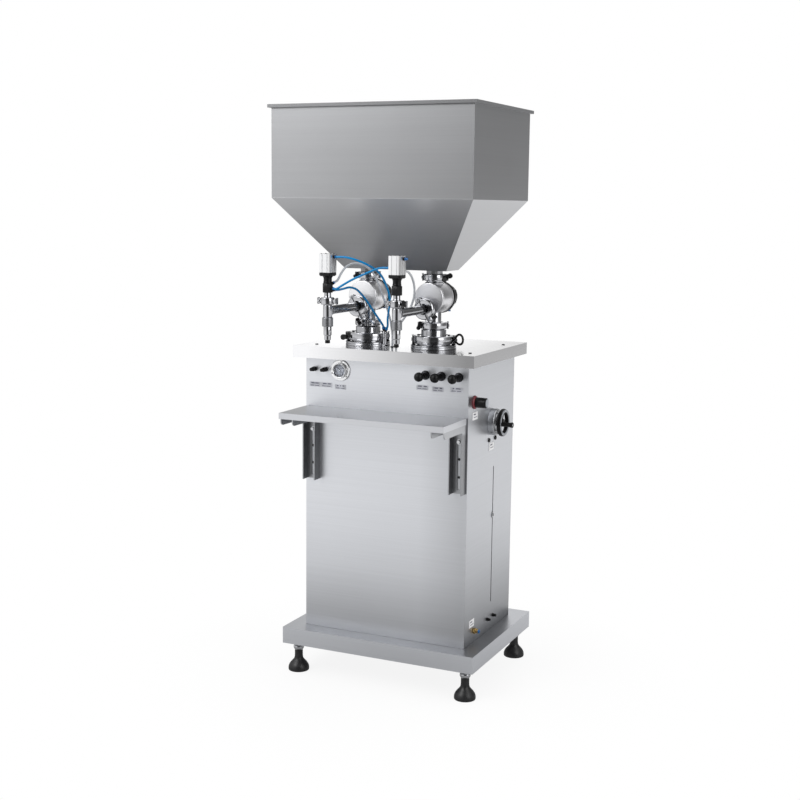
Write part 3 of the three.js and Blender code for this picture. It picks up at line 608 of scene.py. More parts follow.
def spun(place, degrees, reach=0, height=0):
    """A frame turned about another's +Z, then moved out and up."""
    return place @ spin(radians(degrees)) @ at(reach, 0, height)


def strip(edge, near, far):
    """The two limits of a strip on one side of the middle, the smaller first."""
    return sorted((edge * near, edge * far))


def aimed(origin, way):
    """Where a shape built along +Z goes, and which way it then points."""
    turn = Vector(UP).rotation_difference(Vector(way)).to_matrix().to_4x4()
    return Matrix.Translation(origin) @ turn


def rounded(profile, radius=0.8):
    """An open line of points with each inner corner turned into a small arc."""
    points = [Vector(p) for p in profile]
    line = [points[0]]
    for before, corner, after in zip(points, points[1:], points[2:]):
        reach = min(radius, (before - corner).length * 0.45, (after - corner).length * 0.45)
        a = corner + (before - corner).normalized() * reach
        b = corner + (after - corner).normalized() * reach
        for t in (0, 0.5, 1):
            line.append(a * (1 - t) ** 2 + corner * (2 * t * (1 - t)) + b * t * t)
    return line + [points[-1]]


def circle(radius, count):
    turns = [2 * pi * i / count for i in range(count)]
    return [Vector((radius * cos(a), radius * sin(a))) for a in turns]


def rectangle(width, depth, radius=1.5, steps=3):
    """An anticlockwise rectangle with round corners."""
    outline = []
    for i, (sx, sy) in enumerate(((1, 1), (-1, 1), (-1, -1), (1, -1))):
        centre = Vector((sx * (width / 2 - radius), sy * (depth / 2 - radius)))
        for k in range(steps + 1):
            a = pi / 2 * (i + k / steps)
            outline.append(centre + Vector((radius * cos(a), radius * sin(a))))
    return outline


def inset(outline, by):
    """A closed anticlockwise outline moved inwards."""
    moved = []
    for i, point in enumerate(outline):
        along = (point - outline[i - 1]).normalized()
        onward = (outline[(i + 1) % len(outline)] - point).normalized()
        first, second = Vector((-along.y, along.x)), Vector((-onward.y, onward.x))
        mean = (first + second).normalized()
        moved.append(point + mean * (by / max(0.4, mean.dot(first))))
    return moved


def loft(bm, loops, place=Matrix(), closed=False, material=0):
    """A skin over loops of points, capped at both ends or joined into a ring."""
    rows = [[bm.verts.new(place @ Vector(point)) for point in loop] for loop in loops]
    pairs = list(zip(rows, rows[1:]))
    if closed:
        pairs.append((rows[-1], rows[0]))
    faces = []
    for low, high in pairs:
        for i in range(len(low)):
            j = (i + 1) % len(low)
            faces.append(bm.faces.new((low[i], low[j], high[j], high[i])))
    if not closed:
        faces += [bm.faces.new(rows[0][::-1]), bm.faces.new(rows[-1])]
    for face in faces:
        face.material_index = material


def prism(bm, outline, low, high, place=Matrix(), edge=0.6, material=0):
    """A flat outline raised from one height to another, with its edges eased."""
    outline = [Vector(p) for p in outline]
    small = inset(outline, edge)
    steps = ((small, low), (outline, low + edge), (outline, high - edge), (small, high))
    loft(bm, [[(p.x, p.y, z) for p in shape] for shape, z in steps], place, material=material)


def block(bm, x, y, z, edge=0.6, place=Matrix(), material=0):
    """A box between its limits, with eased edges."""
    centre = Matrix.Translation(((x[0] + x[1]) / 2, (y[0] + y[1]) / 2, 0))
    outline = rectangle(x[1] - x[0], y[1] - y[0], max(edge, 0.3), 2)
    prism(bm, outline, *z, place @ centre, edge, material)


def turned(bm, profile, place=Matrix(), sides=48, wave=None, material=0):
    """A shape turned from [radius, height] points. It closes where its radius is nothing."""
    rows = []
    for radius, height in profile:
        if radius < 1e-4:
            rows.append([bm.verts.new(place @ Vector((0, 0, height)))] * sides)
            continue
        row = []
        for i in range(sides):
            angle = 2 * pi * i / sides
            reach = radius + (wave(angle, height) if wave else 0)
            point = Vector((reach * cos(angle), reach * sin(angle), height))
            row.append(bm.verts.new(place @ point))
        rows.append(row)
    if (Vector(profile[0]) - Vector(profile[-1])).length < 1e-4:
        for vert in rows.pop():
            bm.verts.remove(vert)
        rows.append(rows[0])
    for low, high in zip(rows, rows[1:]):
        for i in range(sides):
            j = (i + 1) % sides
            corners = list(dict.fromkeys((low[i], low[j], high[j], high[i])))
            if len(corners) > 2:
                bm.faces.new(corners).material_index = material


def solid(bm, profile, place=Matrix(), sides=48, ease=0.8, wave=None, material=0):
    """A solid turned shape: its [radius, height] points are closed to the axis at each end."""
    points = [(0, profile[0][1]), *profile, (0, profile[-1][1])]
    turned(bm, rounded(points, ease), place, sides, wave, material)


def hollow(bm, section, place=Matrix(), sides=48, ease=0.8, material=0):
    """A turned ring from a closed section of [radius, height] points."""
    line = rounded([*section, section[0], section[1]], ease)[1:-1]
    turned(bm, [*line, line[0]], place, sides, material=material)


def arc_ring(bm, section, place, start_angle, end_angle, steps):
    """Part of a turned ring, from one angle to another, with flat ends."""
    loops = []
    for i in range(steps + 1):
        a = start_angle + (end_angle - start_angle) * i / steps
        loops.append([(r * cos(a), r * sin(a), z) for r, z in section])
    loft(bm, loops, place)


def bar(bm, points, radius, place, sides, closed=False, material=0):
    """A round bar along points, or round a closed line of points."""
    points = [Vector(p) for p in points]
    count = len(points)
    ways = []
    for i, point in enumerate(points):
        before = points[i - 1] if (closed or i) else point
        after = points[(i + 1) % count] if (closed or i < count - 1) else point
        ways.append((after - before).normalized())
    side = ways[0].orthogonal().normalized()
    loops = []
    for point, way in zip(points, ways):
        side = (side - way * side.dot(way)).normalized()
        other = way.cross(side)
        loops.append([point + (side * p.x + other * p.y) for p in circle(radius, sides)])
    loft(bm, loops, place, closed, material)


def hexagon(bm, across, low, high, place=Matrix(), ease=1.2, material=0):
    """A hexagonal nut or head with its corners turned away at both ends."""
    outline = circle(across / sqrt(3), 6)
    fine = [outline[i].lerp(outline[(i + 1) % 6], k / 4) for i in range(6) for k in range(4)]

    def limited(reach):
        return [p * min(1, reach / p.length) for p in fine]

    full = across / sqrt(3) + 0.01
    heights = (
        (limited(across / 2 - 0.3), low),
        (limited(full), low + ease * 0.5),
        (limited(full), high - ease * 0.5),
        (limited(across / 2 - 0.3), high),
    )
    loft(bm, [[(p.x, p.y, z) for p in shape] for shape, z in heights], place, material=material)


def cap_screw(bm, place, radius=4.0, height=4.0, material=0):
    """A round head with a hexagonal socket, pointing along +Z from its seat."""
    line = [(0, height * 0.35)]
    socket = radius * 0.5
    line += [(socket, height * 0.35), (socket, height), (radius, height), (radius, 0), (0, 0)]
    turned(bm, rounded(line, 0.35), place, 24, material=material)


def washer(bm, place, inner, outer, thick, material=0):
    hollow(bm, [(inner, 0), (outer, 0), (outer, thick), (inner, thick)], place, 32, 0.25, material)


def knurl(count, depth, low, high):
    """Ridges along a grip, between two heights."""

    def wave(angle, height):
        inside = low <= height <= high
        return depth * (0.5 + 0.5 * cos(angle * count)) - depth if inside else 0

    return wave


SMOOTH_UP_TO = radians(38)


def make_piece(name, bm, materials, body="root", replaces=()):
    """Turns the shape into an object that rides on a CAD body."""
    bmesh.ops.recalc_face_normals(bm, faces=bm.faces)
    bmesh.ops.transform(bm, matrix=TO_METRES, verts=bm.verts)
    data = bpy.data.meshes.new(name)
    bm.to_mesh(data)
    bm.free()
    for material in materials if isinstance(materials, (list, tuple)) else [materials]:
        data.materials.append(material)
    data.shade_smooth()
    data.set_sharp_from_angle(angle=SMOOTH_UP_TO)
    item = in_scene(name, data)
    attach(item, body)
    if replaces:
        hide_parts(*replaces)

# ---- levelling feet

FOOT_X, FOOT_Y = 268.0, 202.0


def make_foot(corner, place):
    bm = bmesh.new()
    cup = [
        (28, 0), (30, 0.8), (31, 3), (31, 8), (30.2, 12.5), (28.2, 17.5), (25, 22.5),
        (20.6, 27.5), (16.4, 32), (13.6, 36.5), (12.4, 41), (12, 48), (12, 60), (11.4, 62.5),
        (10, 63),
    ]
    turned(bm, [(0, 0), *cup, (0, 63)], place, 56)
    turned(bm, [(0, 62), (10.5, 62), (13, 64), (15.2, 68), (15.8, 71.5), (15.2, 75), (12, 79),
                (0, 79)], place, 40, material=1)
    hexagon(bm, 24, 76, 86, place, material=1)
    thread = [(7.9 if i % 2 else 7.2, 84 + i * 0.85) for i in range(46)]
    turned(bm, [(0, 84), *thread, (0, thread[-1][1])], place, 32, material=1)
    make_piece("foot_" + corner + "_pad", bm, [FOOT_BLACK, POLISHED], "foot_" + corner,
               ["foot_" + corner])


for end, y in (("front", -FOOT_Y), ("rear", FOOT_Y)):
    for side, x in (("left", -FOOT_X), ("right", FOOT_X)):
        make_foot(f"{end}_{side}", at(x, y, 0))

# ---- front controls


def on_front(x, z=PANEL_ROW):
    """A frame on the front panel whose +Z points at the operator and whose +Y points up."""
    turn = Matrix(((1, 0, 0), UP, FRONT)).transposed().to_4x4()
    return at(x, FRONT_FACE, z) @ turn


def on_right(y, z):
    """A frame on the right panel whose +Z points out and whose +Y points up."""
    turn = Matrix((BACK, UP, (1, 0, 0))).transposed().to_4x4()
    return at(RIGHT_FACE, y, z) @ turn


GAUGE_X = -142.0


def make_gauge():
    place = on_front(GAUGE_X)
    bm = bmesh.new()
    hollow(bm, [(21.4, 0.3), (31, 0.3), (31, 2.2), (29.6, 3.4), (21.4, 3.6)], place, 72, 0.5)
    for i in range(3):
        angle = radians(200 + 120 * i)
        cap_screw(bm, place @ at(26.4 * cos(angle), 26.4 * sin(angle), 3.4), 2.3, 1.5, material=2)
    for i in range(3):
        block(bm, (21, 30.6), (-1.6, 1.6), (3.2, 4.6), 0.5, spun(place, 80 + 120 * i))
    hollow(bm, [(18.2, 3), (21.4, 3), (21.4, 11.2), (20.6, 12), (19.4, 12), (18.2, 10.6)],
           place, 72, 0.4)
    solid(bm, [(14, -15.5), (14, 3.2)], place, 40)
    hollow(bm, [(13.5, 3.0), (18.6, 3.0), (18.6, 8.5), (18.0, 8.5), (17.4, 4.6), (13.5, 4.6)],
           place, 56, 0.2, material=2)
    solid(bm, [(18.4, 3.2), (18.4, 5.2)], place, 56, 0.1, material=1)
    for i in range(25):
        inner = 13.6 if i % 4 else 12.2
        mark = spun(place, -45 + 270 * i / 24)
        block(bm, (inner, 15.6), (-0.35, 0.35), (5.1, 5.45), 0.08, mark, 2)
    needle = spun(place, 118)
    prism(bm, [(-5, -0.9), (13.5, -0.25), (13.5, 0.25), (-5, 0.9)], 6.2, 6.8, needle, 0.1, 2)
    solid(bm, [(2.1, 5), (2.1, 7.6)], place, 24, 0.4, material=0)
    make_piece("gauge_case", bm, [ALUMINIUM, GAUGE_FACE, BLACK], replaces=["pressure_gauge"])
    dome = [(0, 9.2), (6, 9.1), (12, 8.9), (16, 8.7), (18.3, 8.5), (18.3, 9.3), (16, 9.6),
            (12, 9.9), (6, 10.15), (0, 10.25)]
    glass = bmesh.new()
    turned(glass, dome, place, 56)
    make_piece("gauge_window", glass, GLASS)


make_gauge()

THROTTLES = {"left": -225.0, "right": -191.0}


def make_throttle(name, x):
    place = on_front(x)
    nut = bmesh.new()
    hexagon(nut, 13, 0.3, 4.6, place)
    solid(nut, [(4.6, 4.4), (4.6, 7)], place, 24, 0.3)
    make_piece("throttle_nut_" + name, nut, DARK_STEEL_AND_HOLE_SHADE)
    knob = bmesh.new()
    line = [(4, -12), (4, 7.6), (6.6, 8), (6.8, 14), (6.2, 16), (3.6, 19.5), (3.1, 21), (5.0, 25),
            (5.0, 26), (4.2, 26.4)]
    solid(knob, line, place, 48, 0.5, knurl(14, 0.5, 8.2, 15.8))
    make_piece("throttle_grip_" + name, knob, BLACK, "throttle_knob_" + name,
               ["throttle_knob_" + name])


for name, x in THROTTLES.items():
    make_throttle(name, x)

PUSH_KNOBS = {"left": 124.0, "middle": 172.0, "right": 224.0}
PUSH_ROW = 911.0


def make_push_knob(name, x, roll):
    place = on_front(x, PUSH_ROW) @ spin(roll)
    bush = bmesh.new()
    washer(bush, place @ at(0, 0, 0.2), 6.2, 13.2, 1.4, material=1)
    hexagon(bush, 22, 1.6, 9, place, material=1)
    hollow(bush, [(5.8, 8.6), (8, 8.6), (8, 11), (7.5, 11.6), (7.5, 21), (6.9, 22), (5.8, 22)],
           place, 40, 0.4)
    make_piece("push_bush_" + name, bush, [BLACK, DARK_STEEL_AND_HOLE_SHADE])
    knob = bmesh.new()
    turns = [-pi / 2 + pi * i / 24 for i in range(3, 24)]
    ball = [(13.2 * cos(a), 46.8 + 13.2 * sin(a)) for a in turns] + [(0, 60)]
    neck = [(0, -14), (4.8, -14), (4.8, 30), (6.2, 31), (6.2, 34.2)]
    turned(knob, [*neck, *ball], place, 48)
    make_piece("push_ball_" + name, knob, BLACK, "push_knob_" + name, ["push_knob_" + name])


for (name, x), roll in zip(PUSH_KNOBS.items(), (0.1, 0.35, 0.55)):
    make_push_knob(name, x, roll)


# Blank plates stand where the machine's labels are, with plain bars in place of any words.
def make_label(name, place, width, height, bars, thick, film):
    bm = bmesh.new()
    prism(bm, rectangle(width, height, 0.8), 0.05, thick, place, 0.1)
    for x, y, long, tall in bars:
        prism(bm, rectangle(long, tall, tall * 0.3), thick - 0.05, thick + 0.12,
              place @ at(x, y, 0), 0.03, material=1)
    make_piece(name, bm, [film, LABEL_INK])


def front_label(name, x, z, long_bars, width):
    bars = [(offset, 3.2, long, 2.6) for offset, long in long_bars]
    bars += [(-width * 0.24, -3.6, width * 0.34, 1.6), (width * 0.17, -3.6, width * 0.36, 1.6)]
    make_label(name, on_front(x, z), width, 14, bars, 0.35, LABEL_FILM)


for name, x, z, long_bars, width in (
    ("throttle_left", -225, 863, [(-7, 11), (6, 12)], 36),
    ("throttle_right", -187, 863, [(-6, 12), (8, 10)], 36),
    ("gauge", -142, 860, [(-9, 5), (0, 4), (9, 6)], 36),
    ("push_left", 115, 876, [(-8, 12), (9, 10)], 36),
    ("push_middle", 162.5, 874, [(-5, 11), (9, 8)], 34),
    ("push_right", 219, 876, [(-10, 5), (4, 14)], 38),
):
    front_label("label_" + name, x, z, long_bars, width)

# ---- right-hand controls

REGULATOR = on_right(-136, 838)


def make_regulator():
    ring = bmesh.new()
    hollow(ring, [(9, 0.3), (19, 0.3), (19, 2.6), (18, 3.4), (16.4, 5.4), (9, 5.4)], REGULATOR,
           56, 0.5)
    make_piece("regulator_ring", ring, RED)
    knob = bmesh.new()
    line = [(8, -14), (8, 5.8), (14.2, 6), (14.8, 7), (14.2, 34.5), (13.6, 36.4), (12.2, 37.4),
            (11.6, 37.4)]
    solid(knob, line, REGULATOR, 72, 0.5, knurl(18, 0.6, 9, 33))
    turned(knob, [(0, 36.6), (11.4, 36.8), (11.4, 37.9), (10.8, 38), (0, 38)], REGULATOR, 48,
           material=1)
    make_piece("regulator_grip", knob, [BLACK, GREY_PLASTIC], "regulator_knob",
               ["regulator_knob"])


make_regulator()

WHEEL = on_right(5, 763)
RIM_STANDS_OFF = 32.0
GRIP_Y = -30.0


def make_handwheel():
    """Heights in the wheel and its crank grip are counted from the middle of the rim."""
    flange = bmesh.new()
    hollow(flange, [(10, 0.3), (38.5, 0.3), (38.5, 16.5), (37.4, 18.6), (35.4, 19.6), (33, 19),
                    (31, 16.5), (27, 15.5), (26, 20), (10, 20)], WHEEL, 80, 0.6)
    for i in range(4):
        cap_screw(flange, spun(WHEEL, 45 + 90 * i, 30.4, 15.6), 2.6, 2.2, material=1)
    make_piece("handwheel_plate", flange, [HIDDEN_STEEL, DARK_STEEL_AND_HOLE_SHADE],
               replaces=["handwheel_flange"])
    wheel = bmesh.new()
    hub_at = WHEEL @ at(0, 0, RIM_STANDS_OFF)
    rim = [(29, -3.6), (31.4, -4.6), (37, -4.6), (39.4, -2.6), (40, 1), (39.4, 5.6), (37.4, 8),
           (31, 8), (29, 6.4)]
    hollow(wheel, rim, hub_at, 88, 1.0)
    face = [(30.4, 7.4), (38, 7.4), (37.6, 8.5), (35, 8.9), (32.2, 8.7), (30.8, 8.3)]
    hollow(wheel, face, hub_at, 88, 0.3, material=1)
    for angle in (-150, -30, 90):
        bar(wheel, [(8, 0, -3), (19, 0, -1), (31, 0, 1)], 4, spun(hub_at, angle), 14)
    hub = [(8.6, -55), (8.6, -11.4), (11, -11), (11.4, -3), (11, 2), (9.6, 4.6), (5.4, 5), (5, 3),
           (4.6, 3)]
    solid(wheel, hub, hub_at, 40, 0.6)
    gear = [(15.6, -56), (16, -55.4), (21.8, -46.6), (20, -46), (9, -46), (9, -45.6)]
    solid(wheel, gear, hub_at, 48, 0.2, lambda angle, height: 0.5 * cos(angle * 24), material=2)
    stud = hub_at @ at(GRIP_Y, 0, 0)
    solid(wheel, [(3, 0), (3, 42.2)], stud, 20, 0.4, material=2)
    hexagon(wheel, 11, 6, 8.25, stud, 0.4, material=2)
    make_piece("handwheel_rim", wheel, [BLACK, GREY_PLASTIC, HIDDEN_STEEL], "handwheel",
               ["handwheel"])
    grip = bmesh.new()
    line = [(3.3, 8.4), (6.2, 8.4), (6.8, 12), (6.1, 18), (5.9, 27), (7.2, 36), (8, 41), (7.4, 43),
            (5, 43), (4.4, 42.4), (3.3, 42.4)]
    hollow(grip, line, stud, 40, 0.8)
    make_piece("handwheel_handle", grip, BLACK, "handwheel_grip", ["handwheel_grip"])


make_handwheel()


def make_side_trims():
    bm = bmesh.new()
    for y, z in ((-17, 712), (33, 712)):
        spot = on_right(y, z)
        solid(bm, [(6.4, 0.2), (6.4, 2.2), (5, 3.4), (2.4, 3.8)], spot, 32, 0.5)
    for y, z in ((-1, 173), (46, 173)):
        spot = on_right(y, z)
        solid(bm, [(5.2, 0.2), (5.2, 3), (4.2, 5.4), (4.2, 9), (3.2, 11)], spot, 28, 0.5,
              knurl(12, 0.35, 5.5, 8.8))
    make_piece("side_plugs", bm, BLACK)
    for name, y, z in (("regulator", -131, 799), ("volume", 3, 691.5), ("inlet", -127, 197)):
        bars = [(-3, 4.6, 16, 2.8), (2, -3.6, 24, 1.8)]
        make_label("label_" + name, on_right(y, z), 38, 22, bars, 0.9, LABEL_WHITE)
    pointer = bmesh.new()
    place = on_right(25, 484) @ at(0, 0, 0.6)
    prism(pointer, [(1.4, -10), (1.4, 10), (-1.4, 10), (-9.5, 1.2), (-9.5, -1.2), (-1.4, -10)],
          0, 1.4, place, 0.3)
    make_piece("volume_pointer", pointer, POLISHED, "stop_block")


make_side_trims()


def make_air_inlet():
    place = on_right(-108, 170)
    bm = bmesh.new()
    solid(bm, [(6, -14), (6, 0.2)], place, 28)
    hexagon(bm, 15, 0.3, 7.4, place)
    solid(bm, [(6.2, 7), (6.2, 13.5), (5.6, 14)], place, 32, 0.4)
    hollow(bm, [(3.2, 13), (5.2, 13), (5.2, 15), (6, 15.6), (6, 17.6), (3.2, 18)], place, 32,
           0.4, material=1)
    make_piece("air_inlet_union", bm, [BRASS, BLUE], replaces=["air_inlet"])


make_air_inlet()

# ---- shelf bracket screws

BRACKET_X = 230.0


def make_bracket_screws(side, sign):
    screws, hole_shade = bmesh.new(), bmesh.new()
    place = on_front(sign * BRACKET_X, 732)
    forward = place @ at(0, 0, 3.6)
    washer(screws, forward, 4.3, 8.2, 1.8)
    hexagon(screws, 10, 1.8, 6.4, forward)
    solid(screws, [(3.9, -3.4), (3.9, 2)], forward, 24, 0.2)
    make_piece("bracket_screw_" + side, screws, POLISHED)
    # Dark rings and discs where the panel has openings: painted shade.
    for z in (682, 631):
        spot = on_front(sign * BRACKET_X, z)
        hollow(hole_shade, [(2.6, 0.05), (4.0, 0.05), (4.0, 0.25), (2.6, 0.25)], spot, 28, 0.05)
        solid(hole_shade, [(3.0, 0.02), (3.0, 0.12)], spot, 24, 0.03)
    make_piece("bracket_hole_shade_" + side, hole_shade, DARK_STEEL_AND_HOLE_SHADE)


for side, sign in (("left", -1), ("right", 1)):
    make_bracket_screws(side, sign)

# ---- filling heads
# Each head is built round its cylinder's axis. Angles are seen from above, from +X.


def d_handle(bm, place, width, height, thick, material=0):
    """An open handle like a D standing along the frame's +Y, with its hub at the origin."""
    points = []
    for i in range(28):
        angle = 2 * pi * i / 28
        squash = 0.75 + 0.25 * (0.5 + 0.5 * sin(angle))
        points.append((width / 2 * cos(angle) * squash, height * (0.5 + 0.5 * sin(angle)), 0))
    bar(bm, points, thick, place, 10, closed=True, material=material)
    solid(bm, [(thick * 0.9, -thick * 0.9), (thick * 1.1, 0), (thick * 0.9, thick * 0.9)], place,
          20, 0.5, material=material)


def wing_nut(bm, place, span, material=0):
    """Two rounded wings on a boss. The bolt lies along the frame's +Z, the wings along X."""
    solid(bm, [(4.4, 0), (5.2, 1), (5.2, 7), (4, 9)], place, 24, 0.6, material=material)
    for side in (-1, 1):
        outline = []
        for i in range(24):
            angle = 2 * pi * i / 24
            wide = 1 + 0.25 * side * cos(angle)
            outline.append((side * span * 0.29 + span * 0.25 * cos(angle),
                            span * 0.2 * wide * sin(angle)))
        prism(bm, outline, 2.2, 7.4, place @ Matrix.Rotation(side * -0.35, 4, "Y"), 1.5,
              material=material)


def clamp(bm, place, neck, outer, low, high, hinge, gap, nut, nut_turn, span, flip):
    """A sanitary clamp: two halves with a hinge pin on one side and a swing bolt opposite.

    flip chooses which end of the bolt has the nut.
    """
    middle = (low + high) / 2
    section = rounded([
        (neck + 4, low + 2.6), (neck, low), (outer - 2.6, low), (outer, low + 2.4),
        (outer + 0.4, middle), (outer, high - 2.4), (outer - 2.6, high), (neck, high),
        (neck + 4, high - 2.6), (neck + 4, low + 2.6),
    ], 0.5)[:-1]
    open_angle = gap / outer
    for start, end in (
        (hinge + open_angle * 0.5, hinge + pi - open_angle),
        (hinge + pi + open_angle, hinge + 2 * pi - open_angle * 0.5),
    ):
        arc_ring(bm, section, place, start, end, 40)
    at_hinge = place @ spin(hinge)
    rise = high - low
    for across in ((-6.5, -1.2), (1.2, 6.5)):
        block(bm, (outer - 3, outer + 4.5), across, (low + 1.5, high - 1.5), 0.8, at_hinge)
    block(bm, (outer - 1, outer + 6.5), (-5, 5), (low + rise * 0.3, high - rise * 0.3), 0.8,
          at_hinge)
    for side in (-1, 1):
        pin = at_hinge @ at(outer + 2.4, side * 3.9, 0)
        solid(bm, [(1.9, low - 0.4), (1.9, high + 0.4)], pin, 16, 0.4, material=1)
        solid(bm, [(2.9, high + 0.2), (2.9, high + 1.4)], pin, 16, 0.4, material=1)
    at_bolt = place @ spin(hinge + pi)
    reach = outer + 8.5
    half = gap * 0.95
    for side in (-1, 1):
        across = strip(side, half, half + 5.2)
        block(bm, (outer - 3.5, reach), across, (low + 0.8, middle - 2.6), 0.7, at_bolt)
        block(bm, (outer - 3.5, reach), across, (middle + 2.6, high - 0.8), 0.7, at_bolt)
        block(bm, (outer - 3.5, outer + 0.5), across, (low + 0.8, high - 0.8), 0.7, at_bolt)
    bolt_at = at_bolt @ at(outer + 4.2, 0, middle) @ Matrix.Rotation(-pi / 2 * flip, 4, "X")
    solid(bm, [(2.3, -half - 6), (2.3, half + 14)], bolt_at, 16, 0.4, material=1)
    solid(bm, [(4.2, -half - 7.5), (4.2, -half - 4.9)], bolt_at, 20, 0.5, material=1)
    end = bolt_at @ at(0, 0, half + 5.4) @ spin(nut_turn)
    if nut == "wing":
        wing_nut(bm, end, span, material=2)
    else:
        solid(bm, [(5, 0), (5.4, 1), (5.4, 6), (4.4, 7)], end, 24, 0.6, material=2)
        d_handle(bm, end @ at(0, 0, 3.5), span, span * 0.66, 3.2, material=2)


def make_cylinder(side, place):
    bm = bmesh.new()
    hollow(bm, [
        (38, 770), (45, 770), (45, 976.3), (65, 976.3), (65, 980.6), (64, 981.2), (64, 982.4),
        (65, 983), (65, 987), (47, 987), (47, 992), (52, 992), (52, 1002), (38, 1002),
    ], place, 96, 0.7)
    for angle in (28, 118, 208, 298):
        seat = spun(place, angle, 57.5, 987)
        washer(bm, seat, 3.2, 6.2, 1.1, material=1)
        cap_screw(bm, seat @ at(0, 0, 1.0), 4.4, 4.4, material=1)
    make_piece("cylinder_flange_" + side, bm, [TURNED[side], DARK_STEEL_AND_HOLE_SHADE],
               replaces=["material_cylinder_" + side])


def make_cylinder_head(side, place):
    bm = bmesh.new()
    hollow(bm, [
        (VALVE_BORE, 1002.3), (52, 1002.3), (52, 1012), (49, 1012.6), (36, 1012.6), (36, 1029),
        (34.5, 1030.4), (24, 1031), (21, 1033), (21, 1034), (32, 1034), (32, 1042),
        (VALVE_BORE, 1042),
    ], place, 88, 0.8)
    for angle in (20, 110, 200, 290):
        cap_screw(bm, spun(place, angle, 43.6, 1012.4), 3.6, 3.6, material=1)
    make_piece("head_cover_" + side, bm, [TURNED[side], DARK_STEEL_AND_HOLE_SHADE],
               replaces=["cylinder_head_" + side])


# For each clamp: the hinge's angle, the nut, its turn on the bolt, its span, and its end.
CLAMPS = {
    "left": {
        "cylinder": (25, "wing", 0.3, 40, 1),
        "lower": (105, "wing", 0.4, 26, -1),
        "upper": (25, "wing", 0.5, 22, 1),
    },
    "right": {
        "cylinder": (205, "handle", -1.45, 32, -1),
        "lower": (25, "wing", 1.2, 28, 1),
        "upper": (205, "wing", 0.6, 36, -1),
    },
}
CLAMP_SIZES = {
    "cylinder": (47.6, 57.2, 990.2, 1013.8, 9),
    "lower": (26, 37.6, 1032.2, 1051.8, 7),
    "upper": (23.4, 30.8, 1168.2, 1187.8, 6.5),
}


def make_clamps(side, place):
    for level, (neck, outer, low, high, gap) in CLAMP_SIZES.items():
        hinge, nut, turn, span, flip = CLAMPS[side][level]
        bm = bmesh.new()
        clamp(bm, place, neck, outer, low, high, radians(hinge), gap, nut, turn, span, flip)
        make_piece(f"{level}_band_{side}", bm, [POLISHED, HIDDEN_STEEL, BLACK],
                   replaces=[f"{level}_clamp_{side}"])


def make_valve(side, place):
    bm = bmesh.new()
    drum = place @ aimed((0, 0, VALVE_AXIS), FRONT)
    solid(bm, [
        (43.4, -40), (44, -39), (44, -35.5), (42.6, -34.9), (42.6, -33.6), (44, -33),
        (44, 31.6), (42.8, 32.2), (42.8, 33.2), (44, 33.8), (44, 38.4), (42.4, 40),
    ], drum, 96, 0.5, material=1)
    for angle in (30, 90, 150, 210, 330):
        solid(bm, [(2.0, 0), (2.0, 0.5)], spun(drum, angle, 37, 39.6), 20, 0.2, material=1)
    hollow(bm, [(VALVE_BORE, 1042.3), (32, 1042.3), (32, 1049), (31, 1050), (22.4, 1051),
                (21, 1053), (21, 1090), (VALVE_BORE, 1090)], place, 72, 0.6)
    hollow(bm, [(VALVE_BORE, 1150), (23, 1150), (23, 1168.6), (24.4, 1170.2), (27.5, 1170.6),
                (27.5, 1178), (VALVE_BORE, 1178)], place, 72, 0.6)
    turned(bm, [(23, 1156), (26.6, 1160), (27.2, 1163), (25, 1164.6), (23, 1165), (22, 1160),
                (23, 1156)], place, 72)
    outlet = place @ aimed((0, 0, OUTLET_Z), FRONT)
    hollow(bm, [(PIPE_BORE, 30), (19.5, 30), (19.5, 40.4), (18, 42), (15, 43), (14, 45), (14, 63.4),
                (15, 65), (FERRULE, 65), (FERRULE, 69), (PIPE_BORE, 69)], outlet, 64, 0.6)
    make_piece("valve_case_" + side, bm, [TURNED[side], VALVE_STEEL[side]],
               replaces=["valve_body_" + side])


def make_outlet_clamp(side, place):
    bm = bmesh.new()
    ring = place @ aimed((0, -69.2, OUTLET_Z), FRONT)
    clamp(bm, ring, 15.5, 29.5, -8.5, 8.5, radians(120), 5.5, "wing", 1.57, 24,
          1 if side == "right" else -1)
    make_piece("outlet_band_" + side, bm, [POLISHED, HIDDEN_STEEL, BLACK])


def make_outlet_pipe(side, place):
    bm = bmesh.new()
    pipe = place @ aimed((0, 0, OUTLET_Z), FRONT)
    end = HEAD_Y - NOZZLE_Y - 17.3
    hollow(bm, [(PIPE_BORE, 69.3), (FERRULE, 69.3), (FERRULE, 73.3), (15, 74.3), (12.6, 76),
                (12, 79), (12, end), (PIPE_BORE, end)], pipe, 56, 0.6)
    make_piece("outlet_tube_" + side, bm, PIPE_STEEL, replaces=["outlet_pipe_" + side])


